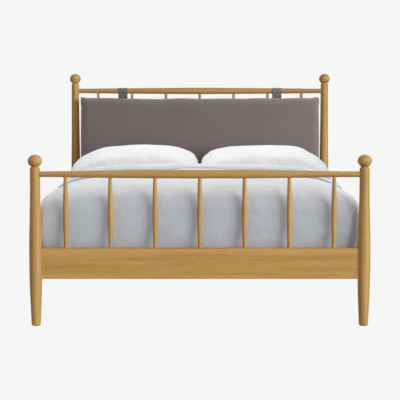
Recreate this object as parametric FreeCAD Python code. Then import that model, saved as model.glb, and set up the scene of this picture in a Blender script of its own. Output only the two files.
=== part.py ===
import FreeCAD, Part
import math
import os

V = FreeCAD.Vector

# ---------------------------------------------------------------- sizes (mm)
# Frame: +X to the right seen from the foot, +Y to the head end, +Z up,
# origin on the floor below the middle of the bed.
POST_X = 772.5          # post centre line, from the middle
POST_Y = 1040.0         # post centre line, from the middle
RAIL_T = 28.0           # thickness of the plank rails
RAIL_Z0, RAIL_Z1 = 222.0, 368.0
RAIL_END = 24.5         # plank ends stop this far from the post's axis
EASE = 3.2              # eased long edges of the planks
TENON_T, TENON_END, TENON_H = 16.0, 8.5, 112.0
GLIDE_R, GLIDE_H = 17.0, 3.0
SPIGOT_R, SPIGOT_L = 8.0, 19.0
CLEAR = 0.1             # glue gap all round a joint

FOOT_RAIL_Z = 714.6     # axis of the footboard's round rail
HEAD_RAIL_Z = 1122.8    # axis of the headboard's round rail
RAIL_SOCKET = 7.5       # round rails stop this far from the post's axis

SPINDLE_PITCH = 210.0
SPINDLE_N = 7
SPINDLE_END_R = 8.5
SPINDLE_TENON = 12.0

LEDGE = 30.0
SLAT_T, SLAT_W, SLAT_L, SLAT_N, SLAT_PITCH = 19.0, 90.0, 1511.0, 12, 164.0
LEDGE_TOP = 299.0
LEDGE_HALF = 948.0
CENTRE_W, CENTRE_H = 45.0, 70.0
POCKET_T = 3.0

STUD_R = 3.95
STUD_Z = (262.0, 328.0)
CRESCENT_R = 16.0
CRESCENT_Y = 970.5

MATTRESS = (1480.0, 1985.0, 250.0)
MATTRESS_Y0 = -980.0

STRAP_X, STRAP_W, STRAP_T, STRAP_R = 477.0, 58.0, 2.0, 16.9

# radius against height, from the floor up
POST_LOW = [(5, 21.6), (16, 21.95), (35, 22.8), (54, 23.65), (73, 24.4), (92, 25.2),
            (111, 26.0), (130, 26.75), (149, 27.4), (168, 27.95), (187, 28.45),
            (206, 28.9), (232, 29.45), (260, 29.85), (300, 30.0), (340, 29.95)]
FOOT_POST_UP = [(380, 29.7), (424, 29.0), (452, 28.2), (480, 27.35), (508, 26.6),
                (537, 25.95), (565, 25.25), (593, 24.65), (622, 24.15), (650, 23.9),
                (678, 23.75), (705, 23.75), (732, 23.8)]
HEAD_POST_UP = [(400, 29.75), (480, 29.35), (560, 28.6), (640, 27.75), (700, 27.05),
                (744, 26.5), (793, 25.6), (843, 24.95), (893, 24.35), (942, 23.95),
                (992, 23.6), (1042, 23.25), (1090, 22.9), (1125, 22.8), (1153, 22.8)]
FOOT_NECK_Z, FOOT_NECK_R = 750.4, 16.4
HEAD_NECK_Z, HEAD_NECK_R = 1170.8, 16.9
FOOT_BALL = (776.6, 33.4, 29.8)      # centre height, radius across, radius up
HEAD_BALL = (1197.2, 33.3, 30.6)

# radius against distance from the middle of the rail
FOOT_RAIL_PROFILE = [(0, 20.2), (82, 20.15), (164, 20.0), (258, 19.4), (328, 18.75),
                     (400, 17.8), (468, 16.8), (520, 16.0), (590, 14.9), (655, 14.1),
                     (702, 13.7), (733, 13.5)]
HEAD_RAIL_PROFILE = [(0, 19.7), (62, 19.6), (155, 19.05), (248, 18.4), (330, 17.7),
                     (400, 17.1), (478, 16.6), (546, 16.0), (620, 15.1), (683, 14.3),
                     (733, 13.9)]
# radius against distance from the spindle's end (0) to its middle (1)
SPINDLE_PROFILE = [(0.0, 8.5), (0.1, 9.1), (0.2, 9.75), (0.37, 10.5), (0.53, 11.25),
                   (0.69, 12.0), (0.85, 12.35), (1.0, 12.5)]


# ---------------------------------------------------------------- helpers
def box(x0, x1, y0, y1, z0, z1):
    return Part.makeBox(x1 - x0, y1 - y0, z1 - z0, V(x0, y0, z0))


def cyl(r, length, base, axis):
    return Part.makeCylinder(r, length, V(*base), V(*axis))


def one(shape):
    shape = shape.removeSplitter() if shape.ShapeType != "Solid" else shape
    solids = shape.Solids
    if len(solids) != 1:
        raise ValueError("expected one solid, got %d" % len(solids))
    return solids[0]


def spline(points):
    curve = Part.BSplineCurve()
    curve.interpolate([V(*p) for p in points])
    return curve.toShape()


def line(a, b):
    return Part.makeLine(V(*a), V(*b))


def turned(edges, axis_point, axis_dir):
    """Solid turned from a closed half profile."""
    face = Part.Face(Part.Wire(edges))
    solid = face.revolve(V(*axis_point), V(*axis_dir), 360)
    return one(solid)


def ease(shape, r, along, keep):
    """Round the straight edges that run along one axis and pass the test keep."""
    chosen = []
    for e in shape.Edges:
        if e.Curve.TypeId != "Part::GeomLine":
            continue
        d = e.tangentAt(e.FirstParameter)
        if abs(abs(d[along]) - 1) < 1e-6 and e.Length > 400 and keep(e.CenterOfMass):
            chosen.append(e)
    return shape.makeFillet(r, chosen)


def save(name, shape):
    shape.exportStep("parts/%s.step" % name)


def mirrored_x(shape):
    return shape.mirror(V(0, 0, 0), V(1, 0, 0))


def hexagon(r, base, axis_y_len):
    """Hexagonal nut blank along +Y, r to the corner."""
    pts = [V(base[0] + r * math.cos(math.radians(60 * i)), base[1],
             base[2] + r * math.sin(math.radians(60 * i))) for i in range(7)]
    return Part.Face(Part.makePolygon(pts)).extrude(V(0, axis_y_len, 0))


# ---------------------------------------------------------------- posts and knobs
def post_blank(upper, neck_z, neck_r):
    up = POST_LOW + upper
    top_r = up[-1][1]
    z_sh = up[-1][0]
    edges = [
        line((0, 0, GLIDE_H), (up[0][1] - 1.8, 0, GLIDE_H)),
        line((up[0][1] - 1.8, 0, GLIDE_H), (up[0][1], 0, up[0][0])),
        spline([(r, 0, z) for z, r in up]),
    ]
    # rounded shoulder into the neck
    mid = (neck_r + (top_r - neck_r) * 0.78, 0, z_sh + (neck_z - z_sh) * 0.62)
    edges.append(Part.Arc(V(top_r, 0, z_sh), V(*mid), V(neck_r, 0, neck_z)).toShape())
    edges.append(line((neck_r, 0, neck_z), (0, 0, neck_z)))
    edges.append(line((0, 0, neck_z), (0, 0, GLIDE_H)))
    return turned(edges, (0, 0, 0), (0, 0, 1))


def knob(ball, neck_z, neck_r):
    zc, rx, rz = ball
    start = math.asin(max(-1.0, (neck_z - zc) / rz))
    pts = []
    n = 22
    for i in range(n + 1):
        a = start + (math.pi / 2 - start) * i / n
        pts.append((rx * math.cos(a), 0, zc + rz * math.sin(a)))
    r0 = pts[0][0]
    pts[-1] = (0, 0, zc + rz)
    edges = [
        line((0, 0, neck_z - SPIGOT_L), (SPIGOT_R, 0, neck_z - SPIGOT_L)),
        line((SPIGOT_R, 0, neck_z - SPIGOT_L), (SPIGOT_R, 0, neck_z)),
        line((SPIGOT_R, 0, neck_z), (r0, 0, neck_z)),
    ]
    ball_curve = Part.BSplineCurve()
    a0 = V(-math.sin(start) * rx, 0, math.cos(start) * rz)
    ball_curve.interpolate([V(*p) for p in pts], False, InitialTangent=a0,
                           FinalTangent=V(-rx, 0, 0))
    edges.append(ball_curve.toShape())
    edges.append(line(pts[-1], (0, 0, neck_z - SPIGOT_L)))
    return turned(edges, (0, 0, 0), (0, 0, 1))


def place(shape, x, y):
    s = shape.copy()
    s.translate(V(x, y, 0))
    return s


def finished_post(blank, sx, sy, rail_z, rail_r, neck_z):
    """Cut a post's joints. sx, sy: which corner, -1 or +1."""
    px, py = sx * POST_X, sy * POST_Y
    p = place(blank, px, py)
    # housing and mortise for the plank rail that runs across the bed
    xa, xb = px - sx * (RAIL_END - CLEAR), px - sx * 40
    p = p.cut(box(min(xa, xb), max(xa, xb), py - RAIL_T / 2 - CLEAR, py + RAIL_T / 2 + CLEAR,
                  RAIL_Z0 - CLEAR, RAIL_Z1 + CLEAR))
    zc = (RAIL_Z0 + RAIL_Z1) / 2
    xa, xb = px - sx * (TENON_END - CLEAR), px - sx * 30
    p = p.cut(box(min(xa, xb), max(xa, xb), py - TENON_T / 2 - CLEAR, py + TENON_T / 2 + CLEAR,
                  zc - TENON_H / 2 - CLEAR, zc + TENON_H / 2 + CLEAR))
    # housing for the side rail
    ya, yb = py - sy * (RAIL_END - CLEAR), py - sy * 40
    p = p.cut(box(px - RAIL_T / 2 - CLEAR, px + RAIL_T / 2 + CLEAR, min(ya, yb), max(ya, yb),
                  RAIL_Z0 - CLEAR, RAIL_Z1 + CLEAR))
    # holes for the threaded inserts
    for z in STUD_Z:
        p = p.cut(cyl(6.1, 40, (px, py + sy * 2.5, z), (0, -sy, 0)))
    # socket for the round rail
    p = p.cut(cyl(rail_r + CLEAR, 40, (px - sx * (RAIL_SOCKET - CLEAR), py, rail_z), (-sx, 0, 0)))
    # hole for the knob's spigot
    p = p.cut(cyl(SPIGOT_R + CLEAR, SPIGOT_L + 1.0 + 5, (px, py, neck_z - SPIGOT_L - 1.0), (0, 0, 1)))
    return one(p)


# ---------------------------------------------------------------- rails
def plank_rail(sy):
    """Plank rail across the bed, tenons at both ends, holes for the spindles."""
    half = POST_X - RAIL_END
    y = sy * POST_Y
    r = box(-half, half, y - RAIL_T / 2, y + RAIL_T / 2, RAIL_Z0, RAIL_Z1)
    r = ease(r, EASE, 0, lambda c: True)
    zc = (RAIL_Z0 + RAIL_Z1) / 2
    tl = POST_X - TENON_END
    r = r.fuse(box(-tl, tl, y - TENON_T / 2, y + TENON_T / 2, zc - TENON_H / 2, zc + TENON_H / 2))
    for i in range(SPINDLE_N):
        x = (i - (SPINDLE_N - 1) / 2) * SPINDLE_PITCH
        r = r.cut(cyl(SPINDLE_END_R + CLEAR, SPINDLE_TENON + 1, (x, y, RAIL_Z1 - SPINDLE_TENON - 0.5), (0, 0, 1)))
    # pilot holes for the two screws of the centre rail's pocket
    for x in (-33.0, 33.0):
        r = r.cut(cyl(2.35, 19, (x, y - sy * (RAIL_T / 2 + 0.5), 262.0), (0, sy, 0)))
    return one(r)


def side_rail(sx):
    half = POST_Y - RAIL_END
    x = sx * POST_X
    r = box(x - RAIL_T / 2, x + RAIL_T / 2, -half, half, RAIL_Z0, RAIL_Z1)
    r = ease(r, EASE, 1, lambda c: True)
    inner = x - sx * RAIL_T / 2
    for sy in (-1, 1):
        for z in STUD_Z:
            r = r.cut(cyl(CRESCENT_R, 22.5, (inner - sx * 0.5, sy * CRESCENT_Y, z), (sx, 0, 0)))
            r = r.cut(cyl(4.3, half - CRESCENT_Y + 1, (x, sy * CRESCENT_Y, z), (0, sy, 0)))
    for y in LEDGE_SCREW_Y:
        r = r.cut(cyl(2.35, 15.5, (inner - sx * 0.5, y, LEDGE_TOP - LEDGE / 2), (sx, 0, 0)))
    return one(r)


def round_rail(profile, z, y):
    end_r = profile[-1][1]
    xe = POST_X - RAIL_SOCKET
    xl = profile[-1][0]
    pts = [(-x, 0, r) for x, r in reversed(profile)] + [(x, 0, r) for x, r in profile[1:]]
    edges = [
        line((-xe, 0, 0), (-xe, 0, end_r - 0.8)),
        line((-xe, 0, end_r - 0.8), (-xe + 0.8, 0, end_r)),
        line((-xe + 0.8, 0, end_r), (-xl, 0, end_r)),
        spline(pts),
        line((xl, 0, end_r), (xe - 0.8, 0, end_r)),
        line((xe - 0.8, 0, end_r), (xe, 0, end_r - 0.8)),
        line((xe, 0, end_r - 0.8), (xe, 0, 0)),
        line((xe, 0, 0), (-xe, 0, 0)),
    ]
    r = turned(edges, (0, 0, 0), (1, 0, 0))
    r.translate(V(0, y, z))
    for i in range(SPINDLE_N):
        x = (i - (SPINDLE_N - 1) / 2) * SPINDLE_PITCH
        r = r.cut(cyl(SPINDLE_END_R + CLEAR, 40, (x, y, z - 1.5), (0, 0, -1)))
    return one(r)


def spindle(x, y, top, underside):
    z0, z1 = RAIL_Z1, underside
    zm = (z0 + z1) / 2
    pts = [(r, 0, z0 + t * (zm - z0)) for t, r in SPINDLE_PROFILE]
    pts += [(r, 0, z1 - t * (z1 - zm)) for t, r in reversed(SPINDLE_PROFILE[:-1])]
    r0 = SPINDLE_END_R
    zb = RAIL_Z1 - SPINDLE_TENON
    edges = [
        line((0, 0, zb), (r0 - 1, 0, zb)),
        line((r0 - 1, 0, zb), (r0, 0, zb + 1)),
        line((r0, 0, zb + 1), (r0, 0, z0)),
        spline(pts),
        line((r0, 0, z1), (r0, 0, top - 1)),
        line((r0, 0, top - 1), (r0 - 1, 0, top)),
        line((r0 - 1, 0, top), (0, 0, top)),
        line((0, 0, top), (0, 0, zb)),
    ]
    s = turned(edges, (0, 0, 0), (0, 0, 1))
    s.translate(V(x, y, 0))
    return s


# ---------------------------------------------------------------- screws
def screw(length=40.0):
    """Countersunk wood screw, head at the origin, pointing along -Z."""
    edges = [
        line((0, 0, 0), (4.4, 0, 0)),
        line((4.4, 0, 0), (4.4, 0, -0.6)),
        line((4.4, 0, -0.6), (2.25, 0, -2.8)),
        line((2.25, 0, -2.8), (2.25, 0, -length + 4)),
        line((2.25, 0, -length + 4), (0, 0, -length)),
        line((0, 0, -length), (0, 0, 0)),
    ]
    s = turned(edges, (0, 0, 0), (0, 0, 1))
    drive = Part.makeBox(5.0, 1.1, 1.4, V(-2.5, -0.55, -1.4)).fuse(
        Part.makeBox(1.1, 5.0, 1.4, V(-0.55, -2.5, -1.4)))
    return one(s.cut(drive))


def sink(z_top):
    """Clearance hole and countersink for a screw, head at the origin, along -Z."""
    edges = [
        line((0, 0, 0.5), (4.7, 0, 0.5)),
        line((4.7, 0, 0.5), (4.7, 0, -0.7)),
        line((4.7, 0, -0.7), (2.35, 0, -3.05)),
        line((2.35, 0, -3.05), (2.35, 0, z_top)),
        line((2.35, 0, z_top), (0, 0, z_top)),
        line((0, 0, z_top), (0, 0, 0.5)),
    ]
    return turned(edges, (0, 0, 0), (0, 0, 1))


def aim(shape, head, direction):
    """Move a screw that points along -Z so that it starts at head and points along direction."""
    s = shape.copy()
    rot = FreeCAD.Rotation(V(0, 0, -1), V(*direction))
    s.Placement = FreeCAD.Placement(V(*head), rot)
    return s


LEDGE_SCREW_Y = (-656.0, -328.0, 0.0, 328.0, 656.0)
SLAT_Y = [(i - (SLAT_N - 1) / 2) * SLAT_PITCH for i in range(SLAT_N)]
SLAT_SCREW_X = POST_X - RAIL_T / 2 - LEDGE / 2


def build():
    os.makedirs("parts", exist_ok=True)

    # posts and knobs
    foot_blank = post_blank(FOOT_POST_UP, FOOT_NECK_Z, FOOT_NECK_R)
    head_blank = post_blank(HEAD_POST_UP, HEAD_NECK_Z, HEAD_NECK_R)
    foot_knob = knob(FOOT_BALL, FOOT_NECK_Z + 0.05, FOOT_NECK_R)
    head_knob = knob(HEAD_BALL, HEAD_NECK_Z + 0.05, HEAD_NECK_R)
    for side, sx in (("left", -1), ("right", 1)):
        save("foot_post_" + side, finished_post(foot_blank, sx, -1, FOOT_RAIL_Z,
                                                FOOT_RAIL_PROFILE[-1][1], FOOT_NECK_Z))
        save("head_post_" + side, finished_post(head_blank, sx, 1, HEAD_RAIL_Z,
                                                HEAD_RAIL_PROFILE[-1][1], HEAD_NECK_Z))
        save("foot_knob_" + side, place(foot_knob, sx * POST_X, -POST_Y))
        save("head_knob_" + side, place(head_knob, sx * POST_X, POST_Y))

    # rails
    save("footboard_lower_rail", plank_rail(-1))
    save("headboard_lower_rail", plank_rail(1))
    save("footboard_top_rail", round_rail(FOOT_RAIL_PROFILE, FOOT_RAIL_Z, -POST_Y))
    save("headboard_top_rail", round_rail(HEAD_RAIL_PROFILE, HEAD_RAIL_Z, POST_Y))
    save("side_rail_left", side_rail(-1))
    save("side_rail_right", side_rail(1))

    # spindles
    for i in range(SPINDLE_N):
        x = (i - (SPINDLE_N - 1) / 2) * SPINDLE_PITCH
        save("foot_spindle_%d" % (i + 1), spindle(x, -POST_Y, FOOT_RAIL_Z - 2.0, 692.0))
        save("head_spindle_%d" % (i + 1), spindle(x, POST_Y, HEAD_RAIL_Z - 2.0, 1101.0))

    # slat ledges, centre rail and slats
    wood_screw = screw()
    hole = sink(-60.0)
    screws = []
    zl = LEDGE_TOP - LEDGE / 2
    xi = POST_X - RAIL_T / 2
    for side, sx in (("left", -1), ("right", 1)):
        xa, xb = sx * xi, sx * (xi - LEDGE)
        ledge = box(min(xa, xb), max(xa, xb), -LEDGE_HALF, LEDGE_HALF, LEDGE_TOP - LEDGE, LEDGE_TOP)
        for y in LEDGE_SCREW_Y:
            ledge = ledge.cut(aim(hole, (xb, y, zl), (sx, 0, 0)))
            screws.append(aim(wood_screw, (xb, y, zl), (sx, 0, 0)))
        for y in SLAT_Y:
            ledge = ledge.cut(cyl(2.35, 22, (sx * SLAT_SCREW_X, y, LEDGE_TOP + 0.5), (0, 0, -1)))
        save("slat_ledge_" + side, one(ledge))

    half_c = POST_Y - RAIL_T / 2 - POCKET_T - CLEAR
    centre = box(-CENTRE_W / 2, CENTRE_W / 2, -half_c, half_c, LEDGE_TOP - CENTRE_H, LEDGE_TOP)
    save("centre_rail", centre)
    for end, sy in (("foot", -1), ("head", 1)):
        yi = sy * (POST_Y - RAIL_T / 2)
        y1 = yi - sy * POCKET_T
        y2 = yi - sy * 42.0
        z0 = LEDGE_TOP - CENTRE_H
        w = CENTRE_W / 2 + CLEAR
        plate = box(-45, 45, min(yi, y1), max(yi, y1), z0 - POCKET_T, 286)
        floor = box(-w - POCKET_T, w + POCKET_T, min(yi, y2), max(yi, y2), z0 - POCKET_T, z0)
        cheek_l = box(-w - POCKET_T, -w, min(yi, y2), max(yi, y2), z0 - POCKET_T, 280)
        cheek_r = box(w, w + POCKET_T, min(yi, y2), max(yi, y2), z0 - POCKET_T, 280)
        pocket = plate.fuse([floor, cheek_l, cheek_r])
        for x in (-33.0, 33.0):
            pocket = pocket.cut(aim(hole, (x, y1, 262.0), (0, sy, 0)))
            screws.append(aim(screw(19.0), (x, y1, 262.0), (0, sy, 0)))
        save("centre_rail_pocket_" + end, one(pocket))

    for i, y in enumerate(SLAT_Y):
        slat = box(-SLAT_L / 2, SLAT_L / 2, y - SLAT_W / 2, y + SLAT_W / 2, LEDGE_TOP, LEDGE_TOP + SLAT_T)
        slat = ease(slat, 2.0, 0, lambda c: c.z > LEDGE_TOP + SLAT_T / 2)
        for x in (-SLAT_SCREW_X, SLAT_SCREW_X):
            slat = slat.cut(aim(hole, (x, y, LEDGE_TOP + SLAT_T), (0, 0, -1)))
            screws.append(aim(wood_screw, (x, y, LEDGE_TOP + SLAT_T), (0, 0, -1)))
        save("slat_%02d" % (i + 1), one(slat))
    save("wood_screws", Part.makeCompound(screws))

    # corner fixings: insert in the post, stud, crescent washer and nut in the rail
    inserts, studs, crescents, nuts, glides = [], [], [], [], []
    for sx in (-1, 1):
        for sy in (-1, 1):
            x = sx * POST_X
            face = sy * (POST_Y - RAIL_END)
            for z in STUD_Z:
                body = cyl(6.0, 21.5, (x, face + sy * 0.3, z), (0, sy, 0))
                inserts.append(one(body.cut(cyl(STUD_R + 0.05, 30, (x, face - sy * 2, z), (0, sy, 0)))))
                end = sy * (CRESCENT_Y - 1.0)
                studs.append(cyl(STUD_R, abs(face + sy * 20.0 - end), (x, end, z), (0, sy, 0)))
                c = cyl(CRESCENT_R - 0.2, 19.5, (x - sx * (RAIL_T / 2 - 1.0), sy * CRESCENT_Y, z), (sx, 0, 0))
                ya, yb = sy * (CRESCENT_Y + 9.0), sy * (CRESCENT_Y + 30.0)
                c = c.common(box(x - 20, x + 20, min(ya, yb), max(ya, yb), z - 20, z + 20))
                c = c.cut(cyl(4.3, 40, (x, sy * (CRESCENT_Y - 5), z), (0, sy, 0)))
                crescents.append(one(c))
                yn = sy * (CRESCENT_Y + 9.0)
                nut = hexagon(7.4, (x, yn - (6.5 if sy > 0 else 0.0), z), 6.5)
                nut = nut.cut(cyl(STUD_R + 0.05, 40, (x, sy * (CRESCENT_Y - 5), z), (0, sy, 0)))
                nuts.append(one(nut))
            glides.append(cyl(GLIDE_R, GLIDE_H, (x, sy * POST_Y, 0), (0, 0, 1)))
    save("post_inserts", Part.makeCompound(inserts))
    save("bed_studs", Part.makeCompound(studs))
    save("crescent_washers", Part.makeCompound(crescents))
    save("stud_nuts", Part.makeCompound(nuts))
    save("floor_glides", Part.makeCompound(glides))

    bedding()
    cushion_and_straps()


# ---------------------------------------------------------------- soft pieces
def prism(points, axis, lo, hi, straight=()):
    """Closed outline made of splines and straight runs, pushed along an axis from lo to hi.
    points is a list of runs; a run of two points is a straight line."""
    edges = []
    for run in points:
        run3 = []
        for a, b in run:
            if axis == 0:
                run3.append((lo, a, b))
            elif axis == 1:
                run3.append((a, lo, b))
            else:
                run3.append((a, b, lo))
        edges.append(line(*run3) if len(run3) == 2 else spline(run3))
    face = Part.Face(Part.Wire(edges))
    d = [0, 0, 0]
    d[axis] = hi - lo
    return face.extrude(V(*d))


def bedding():
    w, l, h = MATTRESS
    z0 = LEDGE_TOP + SLAT_T
    m = box(-w / 2, w / 2, MATTRESS_Y0, MATTRESS_Y0 + l, z0, z0 + h)
    vertical = [e for e in m.Edges if abs(abs(e.tangentAt(e.FirstParameter).z) - 1) < 1e-6]
    m = m.makeFillet(28, vertical)
    flat = [e for e in m.Edges if abs(e.tangentAt(e.FirstParameter).z) < 1e-6
            and (abs(e.CenterOfMass.z - z0) < 0.1 or abs(e.CenterOfMass.z - z0 - h) < 0.1)]
    m = m.makeFillet(9, flat)
    save("mattress", one(m))

    top = z0 + h
    half = [(-748.0, 560.0), (-747.0, 592.0), (-742.0, 614.0), (-728.0, 634.0), (-700.0, 650.0),
            (-650.0, 667.0), (-600.0, 680.0), (-426.0, 696.0), (-284.0, 699.5), (0.0, 702.0)]
    crown = half + [(-x, z) for x, z in reversed(half[:-1])]
    across = prism([[(-748.0, 335.0), (-748.0, 560.0)], crown,
                    [(748.0, 560.0), (748.0, 335.0)], [(748.0, 335.0), (-748.0, 335.0)]],
                   1, -1100.0, 400.0)
    along = prism([[(-1017.0, 335.0), (-1017.0, 560.0)],
                   [(-1017.0, 560.0), (-1010.0, 596.0), (-994.0, 618.0), (-960.0, 638.0),
                    (-900.0, 652.0), (-800.0, 661.0), (-600.0, 668.0), (-327.0, 670.0), (-322.0, 684.0),
                    (-100.0, 686.0), (100.0, 685.0), (200.0, 678.0), (236.0, 686.0), (262.0, 700.0),
                    (290.0, 703.0), (312.0, 695.0), (327.0, 668.0), (328.0, 636.0), (316.0, 600.0)],
                   [(316.0, 600.0), (316.0, 335.0)], [(316.0, 335.0), (-1017.0, 335.0)]],
                  0, -800.0, 800.0)
    duvet = across.common(along)
    duvet = duvet.cut(box(-w / 2 - 0.5, w / 2 + 0.5, MATTRESS_Y0 - 0.5, 600, 300, top + 0.5))
    save("duvet", one(duvet))

    zb = top + 0.5
    outline = [(-763.0, 676.0), (-759.0, 700.0), (-742.0, 722.0), (-712.0, 744.0), (-672.0, 764.0),
               (-630.0, 782.0), (-585.0, 793.0), (-500.0, 799.0), (-352.0, 801.5), (-212.0, 798.0),
               (-152.0, 789.0), (-93.0, 768.0), (-40.0, 735.0), (-14.0, 705.0), (-9.0, 680.0)]
    face_on = prism([outline, [(-9.0, 680.0), (-20.0, 640.0), (-75.0, zb)],
                     [(-75.0, zb), (-690.0, zb)], [(-690.0, zb), (-748.0, 630.0), (-763.0, 676.0)]],
                    1, 380.0, 920.0)
    side_on = prism([[(430.0, zb), (399.0, 592.0), (404.0, 632.0), (450.0, 694.0), (540.0, 760.0),
                      (640.0, 797.0), (730.0, 803.0), (815.0, 788.0), (880.0, 742.0), (904.0, 680.0),
                      (898.0, 610.0), (860.0, zb)], [(860.0, zb), (430.0, zb)]],
                    0, -790.0, 0.0)
    pillow = one(face_on.common(side_on))
    save("pillow_left", pillow)
    save("pillow_right", one(mirrored_x(pillow)))


def cushion_and_straps():
    front = [[(-732.0, 1086.0), (-715.0, 1080.0), (-660.0, 1076.0), (-400.0, 1074.5), (0.0, 1074.5),
              (400.0, 1074.5), (660.0, 1076.0), (715.0, 1080.0), (732.0, 1086.0)],
             [(732.0, 1086.0), (727.0, 1060.0), (723.0, 1000.0), (722.0, 843.0), (723.0, 690.0),
              (727.0, 628.0), (732.0, 600.0)],
             [(732.0, 600.0), (715.0, 606.0), (660.0, 610.0), (0.0, 612.0), (-660.0, 610.0),
              (-715.0, 606.0), (-732.0, 600.0)],
             [(-732.0, 600.0), (-727.0, 628.0), (-723.0, 690.0), (-722.0, 843.0), (-723.0, 1000.0),
              (-727.0, 1060.0), (-732.0, 1086.0)]]
    face_on = prism(front, 1, 930.0, 1030.0)
    side_on = prism([[(983.0, 1088.0), (957.0, 1077.0), (945.0, 1054.0), (941.0, 1000.0),
                      (940.0, 840.0), (941.0, 690.0), (946.0, 632.0), (960.0, 608.0), (985.0, 599.0)],
                     [(985.0, 599.0), (1008.0, 607.0), (1020.0, 632.0), (1024.2, 690.0),
                      (1024.4, 780.0), (1023.2, 880.0), (1020.6, 980.0), (1019.6, 1040.0),
                      (1012.0, 1074.0), (983.0, 1088.0)]],
                    0, -760.0, 760.0)
    plan = prism([[(-735.0, 983.0), (-722.0, 956.0), (-690.0, 944.0), (-600.0, 940.0), (0.0, 939.0),
                   (600.0, 940.0), (690.0, 944.0), (722.0, 956.0), (735.0, 983.0)],
                  [(735.0, 983.0), (722.0, 1010.0), (690.0, 1022.0), (600.0, 1025.0), (0.0, 1025.5),
                   (-600.0, 1025.0), (-690.0, 1022.0), (-722.0, 1010.0), (-735.0, 983.0)]],
                 2, 590.0, 1095.0)
    save("headboard_cushion", one(face_on.common(side_on).common(plan)))

    press = []
    for side, sx in (("left", -1), ("right", 1)):
        x0 = sx * STRAP_X - STRAP_W / 2
        ring = cyl(STRAP_R + STRAP_T, STRAP_W, (x0, POST_Y, HEAD_RAIL_Z), (1, 0, 0))
        yf = POST_Y - STRAP_R - STRAP_T
        tail = box(x0, x0 + STRAP_W, yf, yf + STRAP_T, 1010.0, HEAD_RAIL_Z)
        strap = ring.fuse(tail).cut(cyl(STRAP_R, STRAP_W + 10, (x0 - 5, POST_Y, HEAD_RAIL_Z), (1, 0, 0)))
        save("strap_" + side, one(strap))
        for dx in (-14.0, 14.0):
            cap = cyl(6.0, 2.0, (sx * STRAP_X + dx, yf + STRAP_T, 1086.0), (0, 1, 0))
            rim = [e for e in cap.Edges if e.Curve.TypeId == "Part::GeomCircle"
                   and abs(e.CenterOfMass.y - (yf + STRAP_T + 2.0)) < 0.01]
            press.append(cap.makeFillet(0.9, rim))
    save("strap_press_studs", Part.makeCompound(press))


build()
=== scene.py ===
import bmesh
import bpy
import math
import random
import numpy as np
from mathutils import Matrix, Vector, noise


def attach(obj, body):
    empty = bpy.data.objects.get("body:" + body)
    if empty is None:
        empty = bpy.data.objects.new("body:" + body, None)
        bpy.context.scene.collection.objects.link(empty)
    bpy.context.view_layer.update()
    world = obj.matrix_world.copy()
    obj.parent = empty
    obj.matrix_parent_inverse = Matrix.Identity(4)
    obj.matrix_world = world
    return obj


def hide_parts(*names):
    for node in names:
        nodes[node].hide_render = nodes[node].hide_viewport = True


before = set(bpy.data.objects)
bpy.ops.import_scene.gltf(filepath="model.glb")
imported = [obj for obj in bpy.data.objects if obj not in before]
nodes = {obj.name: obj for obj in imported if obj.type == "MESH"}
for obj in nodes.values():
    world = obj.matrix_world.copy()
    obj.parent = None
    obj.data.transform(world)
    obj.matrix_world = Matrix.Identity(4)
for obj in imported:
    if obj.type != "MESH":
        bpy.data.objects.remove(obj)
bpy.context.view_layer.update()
scene = bpy.context.scene
scene.view_settings.view_transform = "Standard"
scene.view_settings.look = "None"
scene.view_settings.exposure = 0.0
scene.view_settings.gamma = 1.0

# ------------------------------------------------------------------ camera
cam_data = bpy.data.cameras.new("camera")
cam_data.sensor_width = 36.0
cam_data.lens = 120.92
cam_data.clip_start = 0.1
cam_data.clip_end = 300.0
cam = bpy.data.objects.new("camera", cam_data)
cam.location = (0.0008, -7.3276, 1.0454)
cam.rotation_euler = (math.radians(90.0 - 4.112), 0.0, 0.0)
scene.collection.objects.link(cam)
scene.camera = cam


# ------------------------------------------------------------------ node helpers
def lin(r, g, b):
    """Screen colour 0-255 to linear RGBA."""
    def f(c):
        c = c / 255.0
        return c / 12.92 if c <= 0.04045 else ((c + 0.055) / 1.055) ** 2.4
    return (f(r), f(g), f(b), 1.0)


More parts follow.
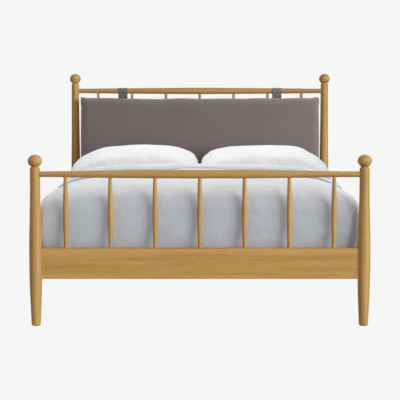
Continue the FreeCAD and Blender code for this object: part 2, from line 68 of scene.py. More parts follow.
class Tree:
    def __init__(self, name):
        self.mat = bpy.data.materials.new(name)
        self.mat.use_nodes = True
        self.nt = self.mat.node_tree
        self.nt.nodes.clear()
        self.out = self.nt.nodes.new("ShaderNodeOutputMaterial")
        self.bsdf = self.nt.nodes.new("ShaderNodeBsdfPrincipled")
        self.nt.links.new(self.bsdf.outputs["BSDF"], self.out.inputs["Surface"])
        self.obj = self.nt.nodes.new("ShaderNodeTexCoord").outputs["Object"]

    def link(self, a, b):
        self.nt.links.new(a, b)
        return b

    def node(self, kind, **props):
        n = self.nt.nodes.new(kind)
        for k, v in props.items():
            setattr(n, k, v)
        return n

    def scaled(self, vec, scale, offset=(0, 0, 0), rot=(0, 0, 0)):
        m = self.node("ShaderNodeMapping")
        m.inputs["Scale"].default_value = scale
        m.inputs["Location"].default_value = offset
        m.inputs["Rotation"].default_value = rot
        self.link(vec, m.inputs["Vector"])
        return m.outputs["Vector"]

    def noise(self, vec, scale=1.0, detail=3.0, rough=0.55, distort=0.0):
        n = self.node("ShaderNodeTexNoise")
        n.inputs["Scale"].default_value = scale
        n.inputs["Detail"].default_value = detail
        n.inputs["Roughness"].default_value = rough
        n.inputs["Distortion"].default_value = distort
        self.link(vec, n.inputs["Vector"])
        return n.outputs["Fac"]

    def math(self, op, a, b=None, clamp=False):
        n = self.node("ShaderNodeMath", operation=op, use_clamp=clamp)
        for i, v in enumerate((a, b)):
            if v is None:
                continue
            if isinstance(v, (int, float)):
                n.inputs[i].default_value = v
            else:
                self.link(v, n.inputs[i])
        return n.outputs[0]

    def ramp(self, fac, stops, mode="LINEAR"):
        n = self.node("ShaderNodeValToRGB")
        cr = n.color_ramp
        cr.interpolation = mode
        while len(cr.elements) < len(stops):
            cr.elements.new(0.5)
        for e, (p, c) in zip(cr.elements, stops):
            e.position = p
            e.color = c if len(c) == 4 else (*c, 1.0)
        self.link(fac, n.inputs["Fac"])
        return n.outputs["Color"]

    def mix(self, fac, a, b, blend="MIX"):
        n = self.node("ShaderNodeMix", data_type="RGBA", blend_type=blend)
        n.clamp_result = False
        if isinstance(fac, (int, float)):
            n.inputs[0].default_value = fac
        else:
            self.link(fac, n.inputs[0])
        for i, v in ((6, a), (7, b)):
            if isinstance(v, tuple):
                n.inputs[i].default_value = v
            else:
                self.link(v, n.inputs[i])
        return n.outputs[2]

    def bump(self, height, strength=0.2, distance=0.001, normal=None):
        n = self.node("ShaderNodeBump")
        n.inputs["Strength"].default_value = strength
        n.inputs["Distance"].default_value = distance
        self.link(height, n.inputs["Height"])
        if normal is not None:
            self.link(normal, n.inputs["Normal"])
        return n.outputs["Normal"]

    def set(self, **kw):
        names = {"rough": "Roughness", "metal": "Metallic", "spec": "Specular IOR Level",
                 "coat": "Coat Weight", "coat_rough": "Coat Roughness", "sheen": "Sheen Weight",
                 "sheen_rough": "Sheen Roughness", "ior": "IOR", "aniso": "Anisotropic",
                 "sss": "Subsurface Weight", "sss_scale": "Subsurface Scale"}
        for k, v in kw.items():
            self.bsdf.inputs[names[k]].default_value = v


# ------------------------------------------------------------------ materials
def oak(name, grain, seed, tone=1.0, pine=False, plank=None):
    """Open-grained honey-coloured wood. grain: the axis the fibres run along.
    plank: (bottom, top) heights of a wide rail, with painted highlights along both rounded edges, a painted shade line
    on its top face, small tone steps between them, and an arched figure."""
    t = Tree(name)
    along = {"X": 0, "Y": 1, "Z": 2}[grain]
    off = (seed * 1.37, seed * 2.11, seed * 0.73)

    def stretch(across, length):
        s = [across, across, across]
        s[along] = length
        return tuple(s)

    streak = t.noise(t.scaled(t.obj, stretch(46, 1.7), off), 1.0, 5.0, 0.62, 0.35)
    broad = t.noise(t.scaled(t.obj, stretch(9, 0.8), off), 1.0, 2.0, 0.5)
    wander = t.noise(t.scaled(t.obj, stretch(11, 1.1), off), 1.0, 2.0, 0.5)
    # growth rings: planes across the grain, bent by slow noise into long arches
    sep = t.node("ShaderNodeSeparateXYZ")
    t.link(t.obj, sep.inputs[0])
    others = [i for i in range(3) if i != along]
    a = t.math("MULTIPLY", sep.outputs[others[0]], 0.45 if grain != "Z" else 0.8)
    b = t.math("MULTIPLY", sep.outputs[others[1]], 1.0 if grain != "Z" else 0.6)
    plane = t.math("ADD", a, b)
    ring = t.math("ADD", t.math("MULTIPLY", plane, 2 * math.pi / 0.0085), t.math("MULTIPLY", wander, 42.0))
    ring = t.math("MULTIPLY_ADD", t.math("SINE", ring), 0.5)
    ring.node.inputs[2].default_value = 0.5
    ring = t.math("POWER", ring, 2.2)
    fibre = t.noise(t.scaled(t.obj, stretch(620, 22), off), 1.0, 2.0, 0.6)
    pores = t.noise(t.scaled(t.obj, stretch(1050, 46), off), 1.0, 1.0, 0.5)
    pore_mask = t.ramp(pores, [(0.36, (1, 1, 1)), (0.43, (0, 0, 0))])
    pore_mask = t.math("MULTIPLY", pore_mask, t.math("ADD", t.math("MULTIPLY", ring, 0.75), 0.25))

    def c(r, g, b):
        return tuple(x * tone for x in (r, g, b)) + (1.0,)
    if pine:
        light, mid, dark, pore = c(0.73, 0.53, 0.30), c(0.66, 0.45, 0.23), c(0.55, 0.34, 0.15), c(0.50, 0.32, 0.15)
    else:
        light, mid, dark, pore = c(0.655, 0.350, 0.100), c(0.568, 0.291, 0.072), c(0.455, 0.222, 0.049), c(0.275, 0.120, 0.024)
    colour = t.ramp(streak, [(0.30, dark), (0.48, mid), (0.68, light)])
    colour = t.mix(t.math("MULTIPLY", ring, 0.26), colour, dark)
    colour = t.mix(t.math("MULTIPLY", broad, 0.30), colour, light)
    fib = t.ramp(fibre, [(0.35, (0.90, 0.89, 0.87)), (0.65, (1.06, 1.06, 1.06))])
    colour = t.mix(1.0, colour, fib, "MULTIPLY")
    colour = t.mix(t.math("MULTIPLY", pore_mask, 0.34), colour, pore)
    if plank:
        z0, z1 = plank
        lift = t.math("MULTIPLY_ADD", t.math("SUBTRACT", broad, 0.5), 0.016)
        lift.node.inputs[2].default_value = 0.0
        h = t.math("DIVIDE", t.math("SUBTRACT", t.math("ADD", sep.outputs[2], lift), z0), z1 - z0)
        # ramp up the board: the lighter, paler stops at the bottom edge and from 0.84 to 0.968 are painted highlights
        # on the rounded edges, the last darker stop is painted shade on the top face, and the steps between are small
        # tone changes
        painted_edge_light_band = t.ramp(h, [(0.0, (1.08, 1.02, 1.04)), (0.085, (1.13, 1.03, 1.05)), (0.15, (0.99, 1.00, 0.93)),
                          (0.22, (0.975, 0.99, 0.92)), (0.40, (1.01, 1.0, 0.955)), (0.52, (1.04, 1.01, 0.97)),
                          (0.66, (0.98, 0.97, 0.91)), (0.76, (1.01, 1.0, 0.95)), (0.84, (1.08, 1.08, 1.10)),
                          (0.93, (1.14, 1.13, 1.26)), (0.968, (1.12, 1.11, 1.24)), (0.985, (0.86, 0.83, 0.86))])
        colour = t.mix(1.0, colour, painted_edge_light_band, "MULTIPLY")
        # an arched figure: long flattened rings about a few centres, near the middle of the board
        rough_x = t.noise(t.scaled(t.obj, (26, 26, 70), off), 1.0, 2.0, 0.6)
        figure = None
        for cx, cz, rx, rz in ((-0.17, 0.290, 0.115, 0.026), (0.02, 0.300, 0.15, 0.030), (0.20, 0.286, 0.10, 0.022)):
            ex = t.math("POWER", t.math("ABSOLUTE", t.math("DIVIDE", t.math("SUBTRACT", sep.outputs[0], cx), rx)), 2.0)
            ez = t.math("POWER", t.math("ABSOLUTE", t.math("DIVIDE", t.math("SUBTRACT", sep.outputs[2], cz), rz)), 2.0)
            e = t.math("ADD", t.math("ADD", ex, ez), t.math("MULTIPLY", t.math("SUBTRACT", rough_x, 0.5), 1.7))
            line = t.math("POWER", t.math("ABSOLUTE", t.math("SINE", t.math("MULTIPLY", e, 5.0))), 3.0)
            fade = t.ramp(e, [(0.0, (1, 1, 1)), (0.55, (0.8, 0.8, 0.8)), (1.0, (0, 0, 0))])
            part = t.math("MULTIPLY", line, fade)
            figure = part if figure is None else t.math("MAXIMUM", figure, part)
        colour = t.mix(t.math("MULTIPLY", figure, 0.34), colour, dark)
    t.link(colour, t.bsdf.inputs["Base Color"])
    rough = t.math("MULTIPLY_ADD", fibre, 0.16)
    rough.node.inputs[2].default_value = 0.42
    t.link(rough, t.bsdf.inputs["Roughness"])
    height = t.math("SUBTRACT", t.math("MULTIPLY", fibre, 0.35), pore_mask)
    t.link(t.bump(height, 0.32, 0.00035), t.bsdf.inputs["Normal"])
    t.set(spec=0.38, coat=0.06, coat_rough=0.35)
    return t.mat


def weave(name, colour, thread, axes=("X", "Z"), variation=0.12, slub=0.0, bump=0.25, rough=0.85,
          sheen=0.25, fleck=None, depth=0.0004, crumple=0.0):
    """Woven cloth. thread: thread pitch in metres; axes: the two directions the threads run;
    crumple: strength of the small soft creases of washed cotton."""
    t = Tree(name)
    sep = t.node("ShaderNodeSeparateXYZ")
    t.link(t.obj, sep.inputs[0])
    idx = {"X": 0, "Y": 1, "Z": 2}
    wob = t.noise(t.scaled(t.obj, (55, 55, 55)), 1.0, 2.0, 0.5)
    waves = []
    for k, axis in enumerate(axes):
        w = t.math("MULTIPLY", sep.outputs[idx[axis]], 2 * math.pi / thread)
        w = t.math("ADD", w, t.math("MULTIPLY", wob, 5.0))
        waves.append(t.math("SINE", w))
    cross = t.math("MULTIPLY", waves[0], waves[1])
    cross = t.math("MULTIPLY_ADD", cross, 0.5)
    cross.node.inputs[2].default_value = 0.5
    fine = t.noise(t.scaled(t.obj, (700, 700, 700)), 1.0, 2.0, 0.6)
    sl_v = [260.0, 260.0, 260.0]
    sl_v[idx[axes[0]]] = 14.0
    slubs = t.noise(t.scaled(t.obj, tuple(sl_v)), 1.0, 2.0, 0.55)
    patch = t.noise(t.scaled(t.obj, (7, 7, 7)), 1.0, 3.0, 0.5)
    lo = tuple(max(0.0, c * (1 - variation)) for c in colour[:3])
    hi = tuple(c * (1 + variation) for c in colour[:3])
    col = t.ramp(cross, [(0.1, lo), (0.9, hi)])
    col = t.mix(0.35, col, t.ramp(fine, [(0.3, lo), (0.7, hi)]))
    if slub:
        col = t.mix(t.math("MULTIPLY", t.ramp(slubs, [(0.52, (0, 0, 0)), (0.72, (1, 1, 1))]), slub), col,
                    fleck or tuple(min(1.0, c * 1.6) for c in colour[:3]) + (1.0,))
    shade = t.ramp(patch, [(0.3, (0.965, 0.965, 0.965)), (0.7, (1.03, 1.03, 1.03))])
    col = t.mix(1.0, col, shade, "MULTIPLY")
    t.link(col, t.bsdf.inputs["Base Color"])
    h = t.math("ADD", cross, t.math("MULTIPLY", fine, 0.6))
    if slub:
        h = t.math("ADD", h, t.math("MULTIPLY", slubs, 0.8))
    creased = None
    if crumple:
        creased = t.bump(t.noise(t.scaled(t.obj, (36, 36, 36)), 1.0, 4.0, 0.55, 0.7), crumple, 0.004)
    t.link(t.bump(h, bump, depth, creased), t.bsdf.inputs["Normal"])
    r = t.math("MULTIPLY_ADD", fine, 0.12)
    r.node.inputs[2].default_value = rough - 0.06
    t.link(r, t.bsdf.inputs["Roughness"])
    t.set(spec=0.2, sheen=sheen, sheen_rough=0.4)
    return t.mat


def metal(name, colour, rough, metallic=1.0, grain=0.0):
    t = Tree(name)
    n = t.noise(t.scaled(t.obj, (240, 240, 240)), 1.0, 4.0, 0.6)
    fine = t.noise(t.scaled(t.obj, (1600, 1600, 300)), 1.0, 2.0, 0.6)
    lo = tuple(c * 0.86 for c in colour[:3])
    hi = tuple(min(1.0, c * 1.08) for c in colour[:3])
    t.link(t.ramp(n, [(0.3, lo), (0.7, hi)]), t.bsdf.inputs["Base Color"])
    r = t.math("MULTIPLY_ADD", fine, 0.2)
    r.node.inputs[2].default_value = rough - 0.1
    t.link(r, t.bsdf.inputs["Roughness"])
    t.link(t.bump(fine, 0.15 + grain, 0.0002), t.bsdf.inputs["Normal"])
    t.set(metal=metallic)
    return t.mat


# OAK_Z[0] and OAK_Z[2], used for the head posts and head knobs, are darker copies of the oak (tones 0.875 and 0.835):
# painted shade for the head end, darkest on the left head post, which the cushion shades
OAK_Z = [oak("oak_post_%d" % i, "Z", 3.0 + 5.7 * i, (0.875, 0.99, 0.835, 0.99)[i]) for i in range(4)]
OAK_SP = [oak("oak_spindle_%d" % i, "Z", 31.0 + 3.3 * i, 1.0) for i in range(3)]
# the headboard top rail's copy (i == 3, tone 0.85) is darker: painted shade for the head end
OAK_X = [oak("oak_across_%d" % i, "X", 61.0 + 7.1 * i, 0.85 if i == 3 else 1.0, plank=(0.222, 0.368) if i < 2 else None)
         for i in range(4)]
OAK_Y = [oak("oak_along_%d" % i, "Y", 97.0 + 4.3 * i) for i in range(2)]
PINE_X = [oak("pine_across_%d" % i, "X", 140.0 + 5.9 * i, 1.0, True) for i in range(3)]
PINE_Y = oak("pine_along", "Y", 171.0, 0.97, True)
BLACK_STEEL = metal("black_powder_coat", (0.022, 0.022, 0.024), 0.55, 0.0, 0.25)
ZINC = metal("zinc_plate", (0.60, 0.60, 0.57), 0.38)
BRASS = metal("brass_turned", (0.72, 0.50, 0.20), 0.34)
STUD_METAL = metal("stud_gunmetal", (0.30, 0.29, 0.28), 0.32)
GLIDE = metal("glide_plastic", (0.030, 0.027, 0.024), 0.6, 0.0, 0.2)

CUSHION_CLOTH = weave("cushion_cloth", (0.184, 0.151, 0.1445, 1), 0.0016, ("X", "Z"), 0.10, 0.10, 0.30, 0.9, 0.75)
STRAP_CLOTH = weave("strap_cloth", (0.175, 0.158, 0.146, 1), 0.0014, ("X", "Z"), 0.14, 0.0, 0.35, 0.85, 0.15)
DUVET_CLOTH = weave("duvet_cotton", (0.715, 0.758, 0.812, 1), 0.0009, ("X", "Y"), 0.02, 0.0, 0.10, 0.88, 0.12, crumple=0.42)
PILLOW_CLOTH = weave("pillow_cotton", (0.815, 0.815, 0.818, 1), 0.0009, ("X", "Y"), 0.02, 0.0, 0.10, 0.88, 0.12, crumple=0.42)
TICKING = weave("mattress_knit", (0.76, 0.75, 0.73, 1), 0.0022, ("X", "Z"), 0.05, 0.08, 0.30, 0.88, 0.15)
PIPING = weave("mattress_piping", (0.42, 0.41, 0.41, 1), 0.0012, ("X", "Y"), 0.08, 0.0, 0.3, 0.85, 0.1)


def put(obj, mat):
    obj.data.materials.clear()
    obj.data.materials.append(mat)


def smooth_by_angle(obj, angle=35.0):
    """Smooth shading kept crisp at hard edges."""
    me = obj.data
    me.shade_smooth()
    me.set_sharp_from_angle(angle=math.radians(angle))


rng = random.Random(7)
for name, o in nodes.items():
    if name.startswith(("foot_post", "head_post")):
        put(o, OAK_Z[("left" in name) * 2 + name.startswith("foot")])
    elif "knob" in name:
        put(o, OAK_Z[("right" in name) * 2 + name.startswith("foot")])
    elif "_spindle_" in name:
        put(o, OAK_SP[int(name[-1]) % 3])
    elif name == "footboard_lower_rail":
        put(o, OAK_X[0])
    elif name == "headboard_lower_rail":
        put(o, OAK_X[1])
    elif name == "footboard_top_rail":
        put(o, OAK_X[2])
    elif name == "headboard_top_rail":
        put(o, OAK_X[3])
    elif name.startswith("side_rail"):
        put(o, OAK_Y["left" in name])
    elif name.startswith("slat_ledge") or name == "centre_rail":
        put(o, PINE_Y)
    elif name.startswith("slat_"):
        put(o, PINE_X[int(name[-2:]) % 3])
    elif name.startswith("centre_rail_pocket"):
        put(o, BLACK_STEEL)
    elif name in ("wood_screws", "bed_studs", "crescent_washers", "stud_nuts"):
        put(o, ZINC)
    elif name == "post_inserts":
        put(o, BRASS)
    elif name == "floor_glides":
        put(o, GLIDE)
    elif name == "strap_press_studs":
        put(o, STUD_METAL)


# ------------------------------------------------------------------ mesh helpers
def new_object(name, verts, faces, mat, smooth=True):
    me = bpy.data.meshes.new(name)
    me.from_pydata([tuple(map(float, v)) for v in verts], [], faces)
    me.validate()
    me.update()
    o = bpy.data.objects.new(name, me)
    scene.collection.objects.link(o)
    if mat is not None:
        me.materials.append(mat)
    if smooth:
        me.shade_smooth()
    return o


def box_grid(nx, ny, nz):
    """Quad skin of a box in -1..1. Returns the corner array and faces."""
    index, pts = {}, []

    def vid(i, j, k):
        key = (i, j, k)
        if key not in index:
            index[key] = len(pts)
            pts.append((2 * i / nx - 1, 2 * j / ny - 1, 2 * k / nz - 1))
        return index[key]
    faces = []
    for i in range(nx):
        for j in range(ny):
            faces.append((vid(i, j, 0), vid(i, j + 1, 0), vid(i + 1, j + 1, 0), vid(i + 1, j, 0)))
            faces.append((vid(i, j, nz), vid(i + 1, j, nz), vid(i + 1, j + 1, nz), vid(i, j + 1, nz)))
    for i in range(nx):
        for k in range(nz):
            faces.append((vid(i, 0, k), vid(i + 1, 0, k), vid(i + 1, 0, k + 1), vid(i, 0, k + 1)))
            faces.append((vid(i, ny, k), vid(i, ny, k + 1), vid(i + 1, ny, k + 1), vid(i + 1, ny, k)))
    for j in range(ny):
        for k in range(nz):
            faces.append((vid(0, j, k), vid(0, j, k + 1), vid(0, j + 1, k + 1), vid(0, j + 1, k)))
            faces.append((vid(nx, j, k), vid(nx, j + 1, k), vid(nx, j + 1, k + 1), vid(nx, j, k + 1)))
    return np.array(pts, float), faces


def envelope(nx, ny):
    """Two layers of cloth sewn together all round: (front grid, back grid) in -1..1."""
    verts, faces = [], []
    front, back = {}, {}
    for j in range(ny + 1):
        for i in range(nx + 1):
            u, v = 2 * i / nx - 1, 2 * j / ny - 1
            front[i, j] = len(verts)
            verts.append((u, v, 1.0))
    for j in range(ny + 1):
        for i in range(nx + 1):
            if i in (0, nx) or j in (0, ny):
                back[i, j] = front[i, j]
            else:
                back[i, j] = len(verts)
                verts.append((2 * i / nx - 1, 2 * j / ny - 1, -1.0))
    for j in range(ny):
        for i in range(nx):
            faces.append((front[i, j], front[i + 1, j], front[i + 1, j + 1], front[i, j + 1]))
            faces.append((back[i, j], back[i, j + 1], back[i + 1, j + 1], back[i + 1, j]))
    return np.array(verts, float), faces


def coords(o):
    co = np.zeros(len(o.data.vertices) * 3, np.float64)
    o.data.vertices.foreach_get("co", co)
    return co.reshape(-1, 3)


def set_coords(o, co):
    o.data.vertices.foreach_set("co", np.asarray(co, np.float32).ravel())
    o.data.update()


def fbm(p, scale, octaves=3, seed=0.0):
    q = Vector((p[0] * scale + seed, p[1] * scale - seed * 0.7, p[2] * scale + seed * 0.31))
    total, amp = 0.0, 1.0
    for _ in range(octaves):
        total += amp * noise.noise(q)
        q = q * 2.03
        amp *= 0.5
    return total


def run_cloth(o, frames, pressure=0.0, shrink=0.0, pins=None, mass=0.25, tension=12.0, compression=None,
              bending=0.4, cap=None, quality=6, stiff_pin=1.0, air=2.0):
    """Runs cloth on o with no gravity and keeps the result in its mesh."""
    base = coords(o)
    m = o.modifiers.new("cloth", "CLOTH")
    s = m.settings
    s.quality = quality
    s.mass = mass
    s.air_damping = air
    s.tension_stiffness = tension
    s.compression_stiffness = tension if compression is None else compression
    s.shear_stiffness = tension * 0.4
    s.bending_stiffness = bending
    s.tension_damping = 5
    s.compression_damping = 5
    s.shear_damping = 5
    s.use_pressure = pressure != 0.0
    s.uniform_pressure_force = pressure
    s.shrink_min = shrink
    s.effector_weights.gravity = 0.0
    m.collision_settings.use_collision = False
    m.collision_settings.use_self_collision = False
    if pins is not None:
        vg = o.vertex_groups.new(name="pin")
        for w in sorted(set(np.round(pins, 3))):
            if w > 0:
                vg.add([int(i) for i in np.nonzero(np.round(pins, 3) == w)[0]], float(w), "REPLACE")
        s.vertex_group_mass = "pin"
        s.pin_stiffness = stiff_pin
    m.point_cache.frame_start = 1
    m.point_cache.frame_end = frames + 1
    for f in range(1, frames + 1):
        scene.frame_set(f)
    dg = bpy.context.evaluated_depsgraph_get()
    e = o.evaluated_get(dg)
    co = np.zeros(len(e.data.vertices) * 3)
    e.data.vertices.foreach_get("co", co)
    co = co.reshape(-1, 3)
    o.modifiers.remove(m)
    if pins is not None:
        o.vertex_groups.clear()
    scene.frame_set(1)
    if cap is not None:
        d = co - base
        ln = np.linalg.norm(d, axis=1)
        k = np.where(ln > cap, cap / np.maximum(ln, 1e-9), 1.0)
        co = base + d * k[:, None]
    set_coords(o, co)
    return co


def subdivide(o, levels=1):
    m = o.modifiers.new("sub", "SUBSURF")
    m.levels = levels
    m.render_levels = levels
    dg = bpy.context.evaluated_depsgraph_get()
    me = bpy.data.meshes.new_from_object(o.evaluated_get(dg))
    o.modifiers.remove(m)
    old = o.data
    o.data = me
    me.name = old.name + "_fine"
    bpy.data.meshes.remove(old)
    me.shade_smooth()


def interp(x, table):
    xs, ys = zip(*table)
    return np.interp(x, xs, ys)


def smoothstep(a, b, x):
    t = np.clip((x - a) / (b - a), 0, 1)
    return t * t * (3 - 2 * t)


def tube(name, path, radius, mat, sides=8, closed=True):
    """A round welt along a path of points."""
    path = [np.array(p, float) for p in path]
    n = len(path)
    verts, faces = [], []
    up = np.array([0.0, 0.0, 1.0])
    for i in range(n):
        a = path[(i - 1) % n] if closed or i > 0 else path[i]
        b = path[(i + 1) % n] if closed or i < n - 1 else path[i]
        t = b - a
        t /= np.linalg.norm(t) + 1e-12
        side = np.cross(t, up)
        if np.linalg.norm(side) < 1e-4:
            side = np.array([1.0, 0, 0])
        side /= np.linalg.norm(side)
        nrm = np.cross(side, t)
        for k in range(sides):
            ang = 2 * math.pi * k / sides
            verts.append(path[i] + radius * (math.cos(ang) * side + math.sin(ang) * nrm))
    rings = n if closed else n - 1
    for i in range(rings):
        for k in range(sides):
            a, b = i * sides + k, i * sides + (k + 1) % sides
            c, d = ((i + 1) % n) * sides + (k + 1) % sides, ((i + 1) % n) * sides + k
            faces.append((a, b, c, d))
    if not closed:
        faces.append(tuple(range(sides))[::-1])
        faces.append(tuple((n - 1) * sides + k for k in range(sides)))
    return new_object(name, verts, faces, mat)


def join(target, others):
    """Joins objects into the first, keeping each one's material."""
    bpy.ops.object.select_all(action="DESELECT")
    for o in others:
        o.select_set(True)
    target.select_set(True)
    bpy.context.view_layer.objects.active = target
    bpy.ops.object.join()
    return target


# ------------------------------------------------------------------ mattress
def build_mattress():
    lo, hi = Vector((-0.740, -0.980, 0.318)), Vector((0.740, 1.005, 0.568))
    p, faces = box_grid(60, 80, 14)
    c = np.array((lo + hi) / 2)
    h = np.array((hi - lo) / 2)
    q = p * h
    r_plan, r_edge = 0.045, 0.012
    # round the plan corners, then the top and bottom edges
    inner = h[:2] - r_plan
    qi = np.clip(q[:, :2], -inner, inner)
    d = q[:, :2] - qi
    ln = np.linalg.norm(d, axis=1)
    mx = np.max(np.abs(d), axis=1)
    k = np.where(ln > 1e-9, mx / np.maximum(ln, 1e-9), 1.0)
    q[:, :2] = qi + d * k[:, None]
    on_side = np.maximum(np.abs(p[:, 0]), np.abs(p[:, 1])) > 0.999
    zf = p[:, 2]
    # border bulges between the two piped edges
    bulge = np.where(on_side, np.cos(zf * math.pi / 2) ** 0.7 * 0.006 - 0.0062, -0.0062)
    nrm = q[:, :2] / (np.linalg.norm(q[:, :2], axis=1)[:, None] + 1e-9)
    side_n = np.zeros_like(nrm)
    ax = np.abs(p[:, 0]) >= np.abs(p[:, 1])
    side_n[:, 0] = np.where(ax, np.sign(p[:, 0]), 0)
    side_n[:, 1] = np.where(~ax, np.sign(p[:, 1]), 0)
    q[:, :2] += side_n * bulge[:, None]
    # crown and shallow quilting on the faces
    face = (np.abs(zf) > 0.999) & ~on_side
    edge = np.minimum(1 - np.abs(p[:, 0]), (1 - np.abs(p[:, 1])) * h[1] / h[0])
    quilt = 0.5 + 0.5 * np.cos(q[:, 0] * 2 * math.pi / 0.11) * np.cos(q[:, 1] * 2 * math.pi / 0.11)
    drop = np.where(face, -0.004 + 0.004 * np.clip(edge * 14, 0, 1) - 0.003 * (1 - quilt) * np.clip(edge * 14, 0, 1), -0.004)
    drop = np.where(np.abs(zf) > 0.999, drop, 0)
    q[:, 2] += np.sign(zf) * drop
    o = new_object("mattress_body", q + c, faces, TICKING)
    welts = []
    for z in (0.5632, 0.3228):
        path = []
        hx, hy, r = 0.7345, 0.987, 0.045
        for cx, cy, a0 in ((1, 1, 0), (-1, 1, 90), (-1, -1, 180), (1, -1, 270)):
            for s in range(9):
                a = math.radians(a0 + 90 * s / 8)
                path.append((c[0] + cx * (hx - r) + r * math.cos(a), c[1] + cy * (hy - r) + r * math.sin(a), z))
        dense = []
        for i in range(len(path)):
            a, b = np.array(path[i]), np.array(path[(i + 1) % len(path)])
            n = max(1, int(np.linalg.norm(b - a) / 0.05))
            for s in range(n):
                dense.append(a + (b - a) * s / n)
        welts.append(tube("welt", dense, 0.0046, PIPING, 10))
    join(o, welts)
    o.name = "mattress_body"
    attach(o, "bed_frame")
    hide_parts("mattress")
    return o


# ------------------------------------------------------------------ duvet
def hermite(x, table):
    """Smooth curve through a table, without overshoot."""
    xs = np.array([p[0] for p in table], float)
    ys = np.array([p[1] for p in table], float)
    d = np.diff(ys) / np.diff(xs)
    m = np.zeros(len(xs))
    m[1:-1] = np.where(d[:-1] * d[1:] > 0, 2 * d[:-1] * d[1:] / (d[:-1] + d[1:] + 1e-12), 0)
    m[0], m[-1] = d[0], d[-1]
    x = np.clip(x, xs[0], xs[-1])
    i = np.clip(np.searchsorted(xs, x, side="right") - 1, 0, len(xs) - 2)
    h = xs[i + 1] - xs[i]
    t = (x - xs[i]) / h
    return ((2 * t ** 3 - 3 * t ** 2 + 1) * ys[i] + (t ** 3 - 2 * t ** 2 + t) * h * m[i]
            + (-2 * t ** 3 + 3 * t ** 2) * ys[i + 1] + (t ** 3 - t ** 2) * h * m[i + 1])


HALF = 0.7490            # half width of the lower layer
FOOT_Y = -1.0160
MAIN_END = 0.290         # head end of the lower layer, inside the fold
FOLD_Y = -0.325          # where the turned-back end stops
HEM = 0.338
SIDE_DROP = [(0.0, 0.100), (0.0015, 0.087), (0.004, 0.077), (0.010, 0.065), (0.018, 0.0565), (0.03, 0.0485),
             (0.06, 0.0365), (0.10, 0.0230), (0.14, 0.0135), (0.20, 0.007), (0.30, 0.003), (0.45, 0.001), (0.76, 0.0)]
FOOT_DROP = [(0.0, 0.114), (0.0025, 0.099), (0.006, 0.084), (0.011, 0.069), (0.0165, 0.057), (0.024, 0.046),
             (0.034, 0.036), (0.047, 0.027), (0.064, 0.020), (0.090, 0.014), (0.13, 0.010), (0.20, 0.0075),
             (0.35, 0.005), (0.55, 0.003), (0.75, 0.0), (1.4, 0.0)]


# radius of a foot post against height
FOOT_POST_R = [(0.30, 0.0300), (0.380, 0.0297), (0.424, 0.0290), (0.452, 0.0282), (0.480, 0.02735), (0.508, 0.0266),
               (0.537, 0.02595), (0.565, 0.02525), (0.593, 0.02465), (0.622, 0.02415), (0.650, 0.0239), (0.75, 0.0238)]


def main_top(x, y):
    """Height of the lower layer's upper skin."""
    z = 0.669 - 0.004 * (x / 0.748) ** 2 - hermite(HALF - np.abs(x), SIDE_DROP) - hermite(y - FOOT_Y, FOOT_DROP)
    z = z - 0.028 * smoothstep(FOLD_Y - 0.012, FOLD_Y + 0.06, y) * smoothstep(0.0, 0.06, HALF - np.abs(x))
    z = z - 0.05 * smoothstep(MAIN_END - 0.05, MAIN_END, y)
    return z


def cloth_relief(x, y, z, side):
    """Soft relief of a filled cotton cover: broad swells, long folds and a fine crumple."""
    n = noise.noise
    swell = n(Vector((x * 2.6 + 3.1, y * 3.4 - 1.7, z * 2.2 + 0.4)))
    swell2 = n(Vector((x * 6.1 - 5.0, y * 7.3 + 2.2, z * 6.0 + 1.4)))
    w = n(Vector((x * 1.9 + 8.0, y * 2.3 + 4.0, z * 2.0)))
    fold = n(Vector((x * 4.0 + 2.5 * w + 11.0, y * 13.0 + 3.5 * w, z * 9.0 - 4.0)))
    fold = 1.0 - min(1.0, abs(fold) * 3.2)
    crump = n(Vector((x * 21.0 + 4 * w, y * 26.0, z * 21.0 + 7.0)))
    ridge = 1.0 - min(1.0, abs(crump) * 2.6)
    mask = max(0.0, min(1.0, 0.5 + 1.6 * n(Vector((x * 3.1 + 20.0, y * 3.0 - 9.0, z * 3.0)))))
    edge = n(Vector((x * 11.0 - 2.0 + 2 * w, y * 30.0 + 5.0, z * 34.0)))
    crease = max(0.0, 1.0 - abs(edge) * 5.5)
    mask2 = max(0.0, min(1.0, 0.15 + 2.0 * n(Vector((x * 5.1 - 7.0, y * 4.0 + 3.0, z * 5.0 + 2.0)))))
    fine = n(Vector((x * 37.0 + 3 * w, y * 41.0 + 9.0, z * 37.0 - 5.0)))
    small = 1.0 - min(1.0, abs(fine) * 2.4)
    return (0.0050 * swell + 0.0026 * swell2 + mask * (0.0038 * fold * fold + 0.0030 * ridge * ridge)
            + 0.0018 * crump + 0.0030 * mask2 * crease ** 2 + 0.0008 * fine + 0.0012 * (1.0 - mask) * small * small)


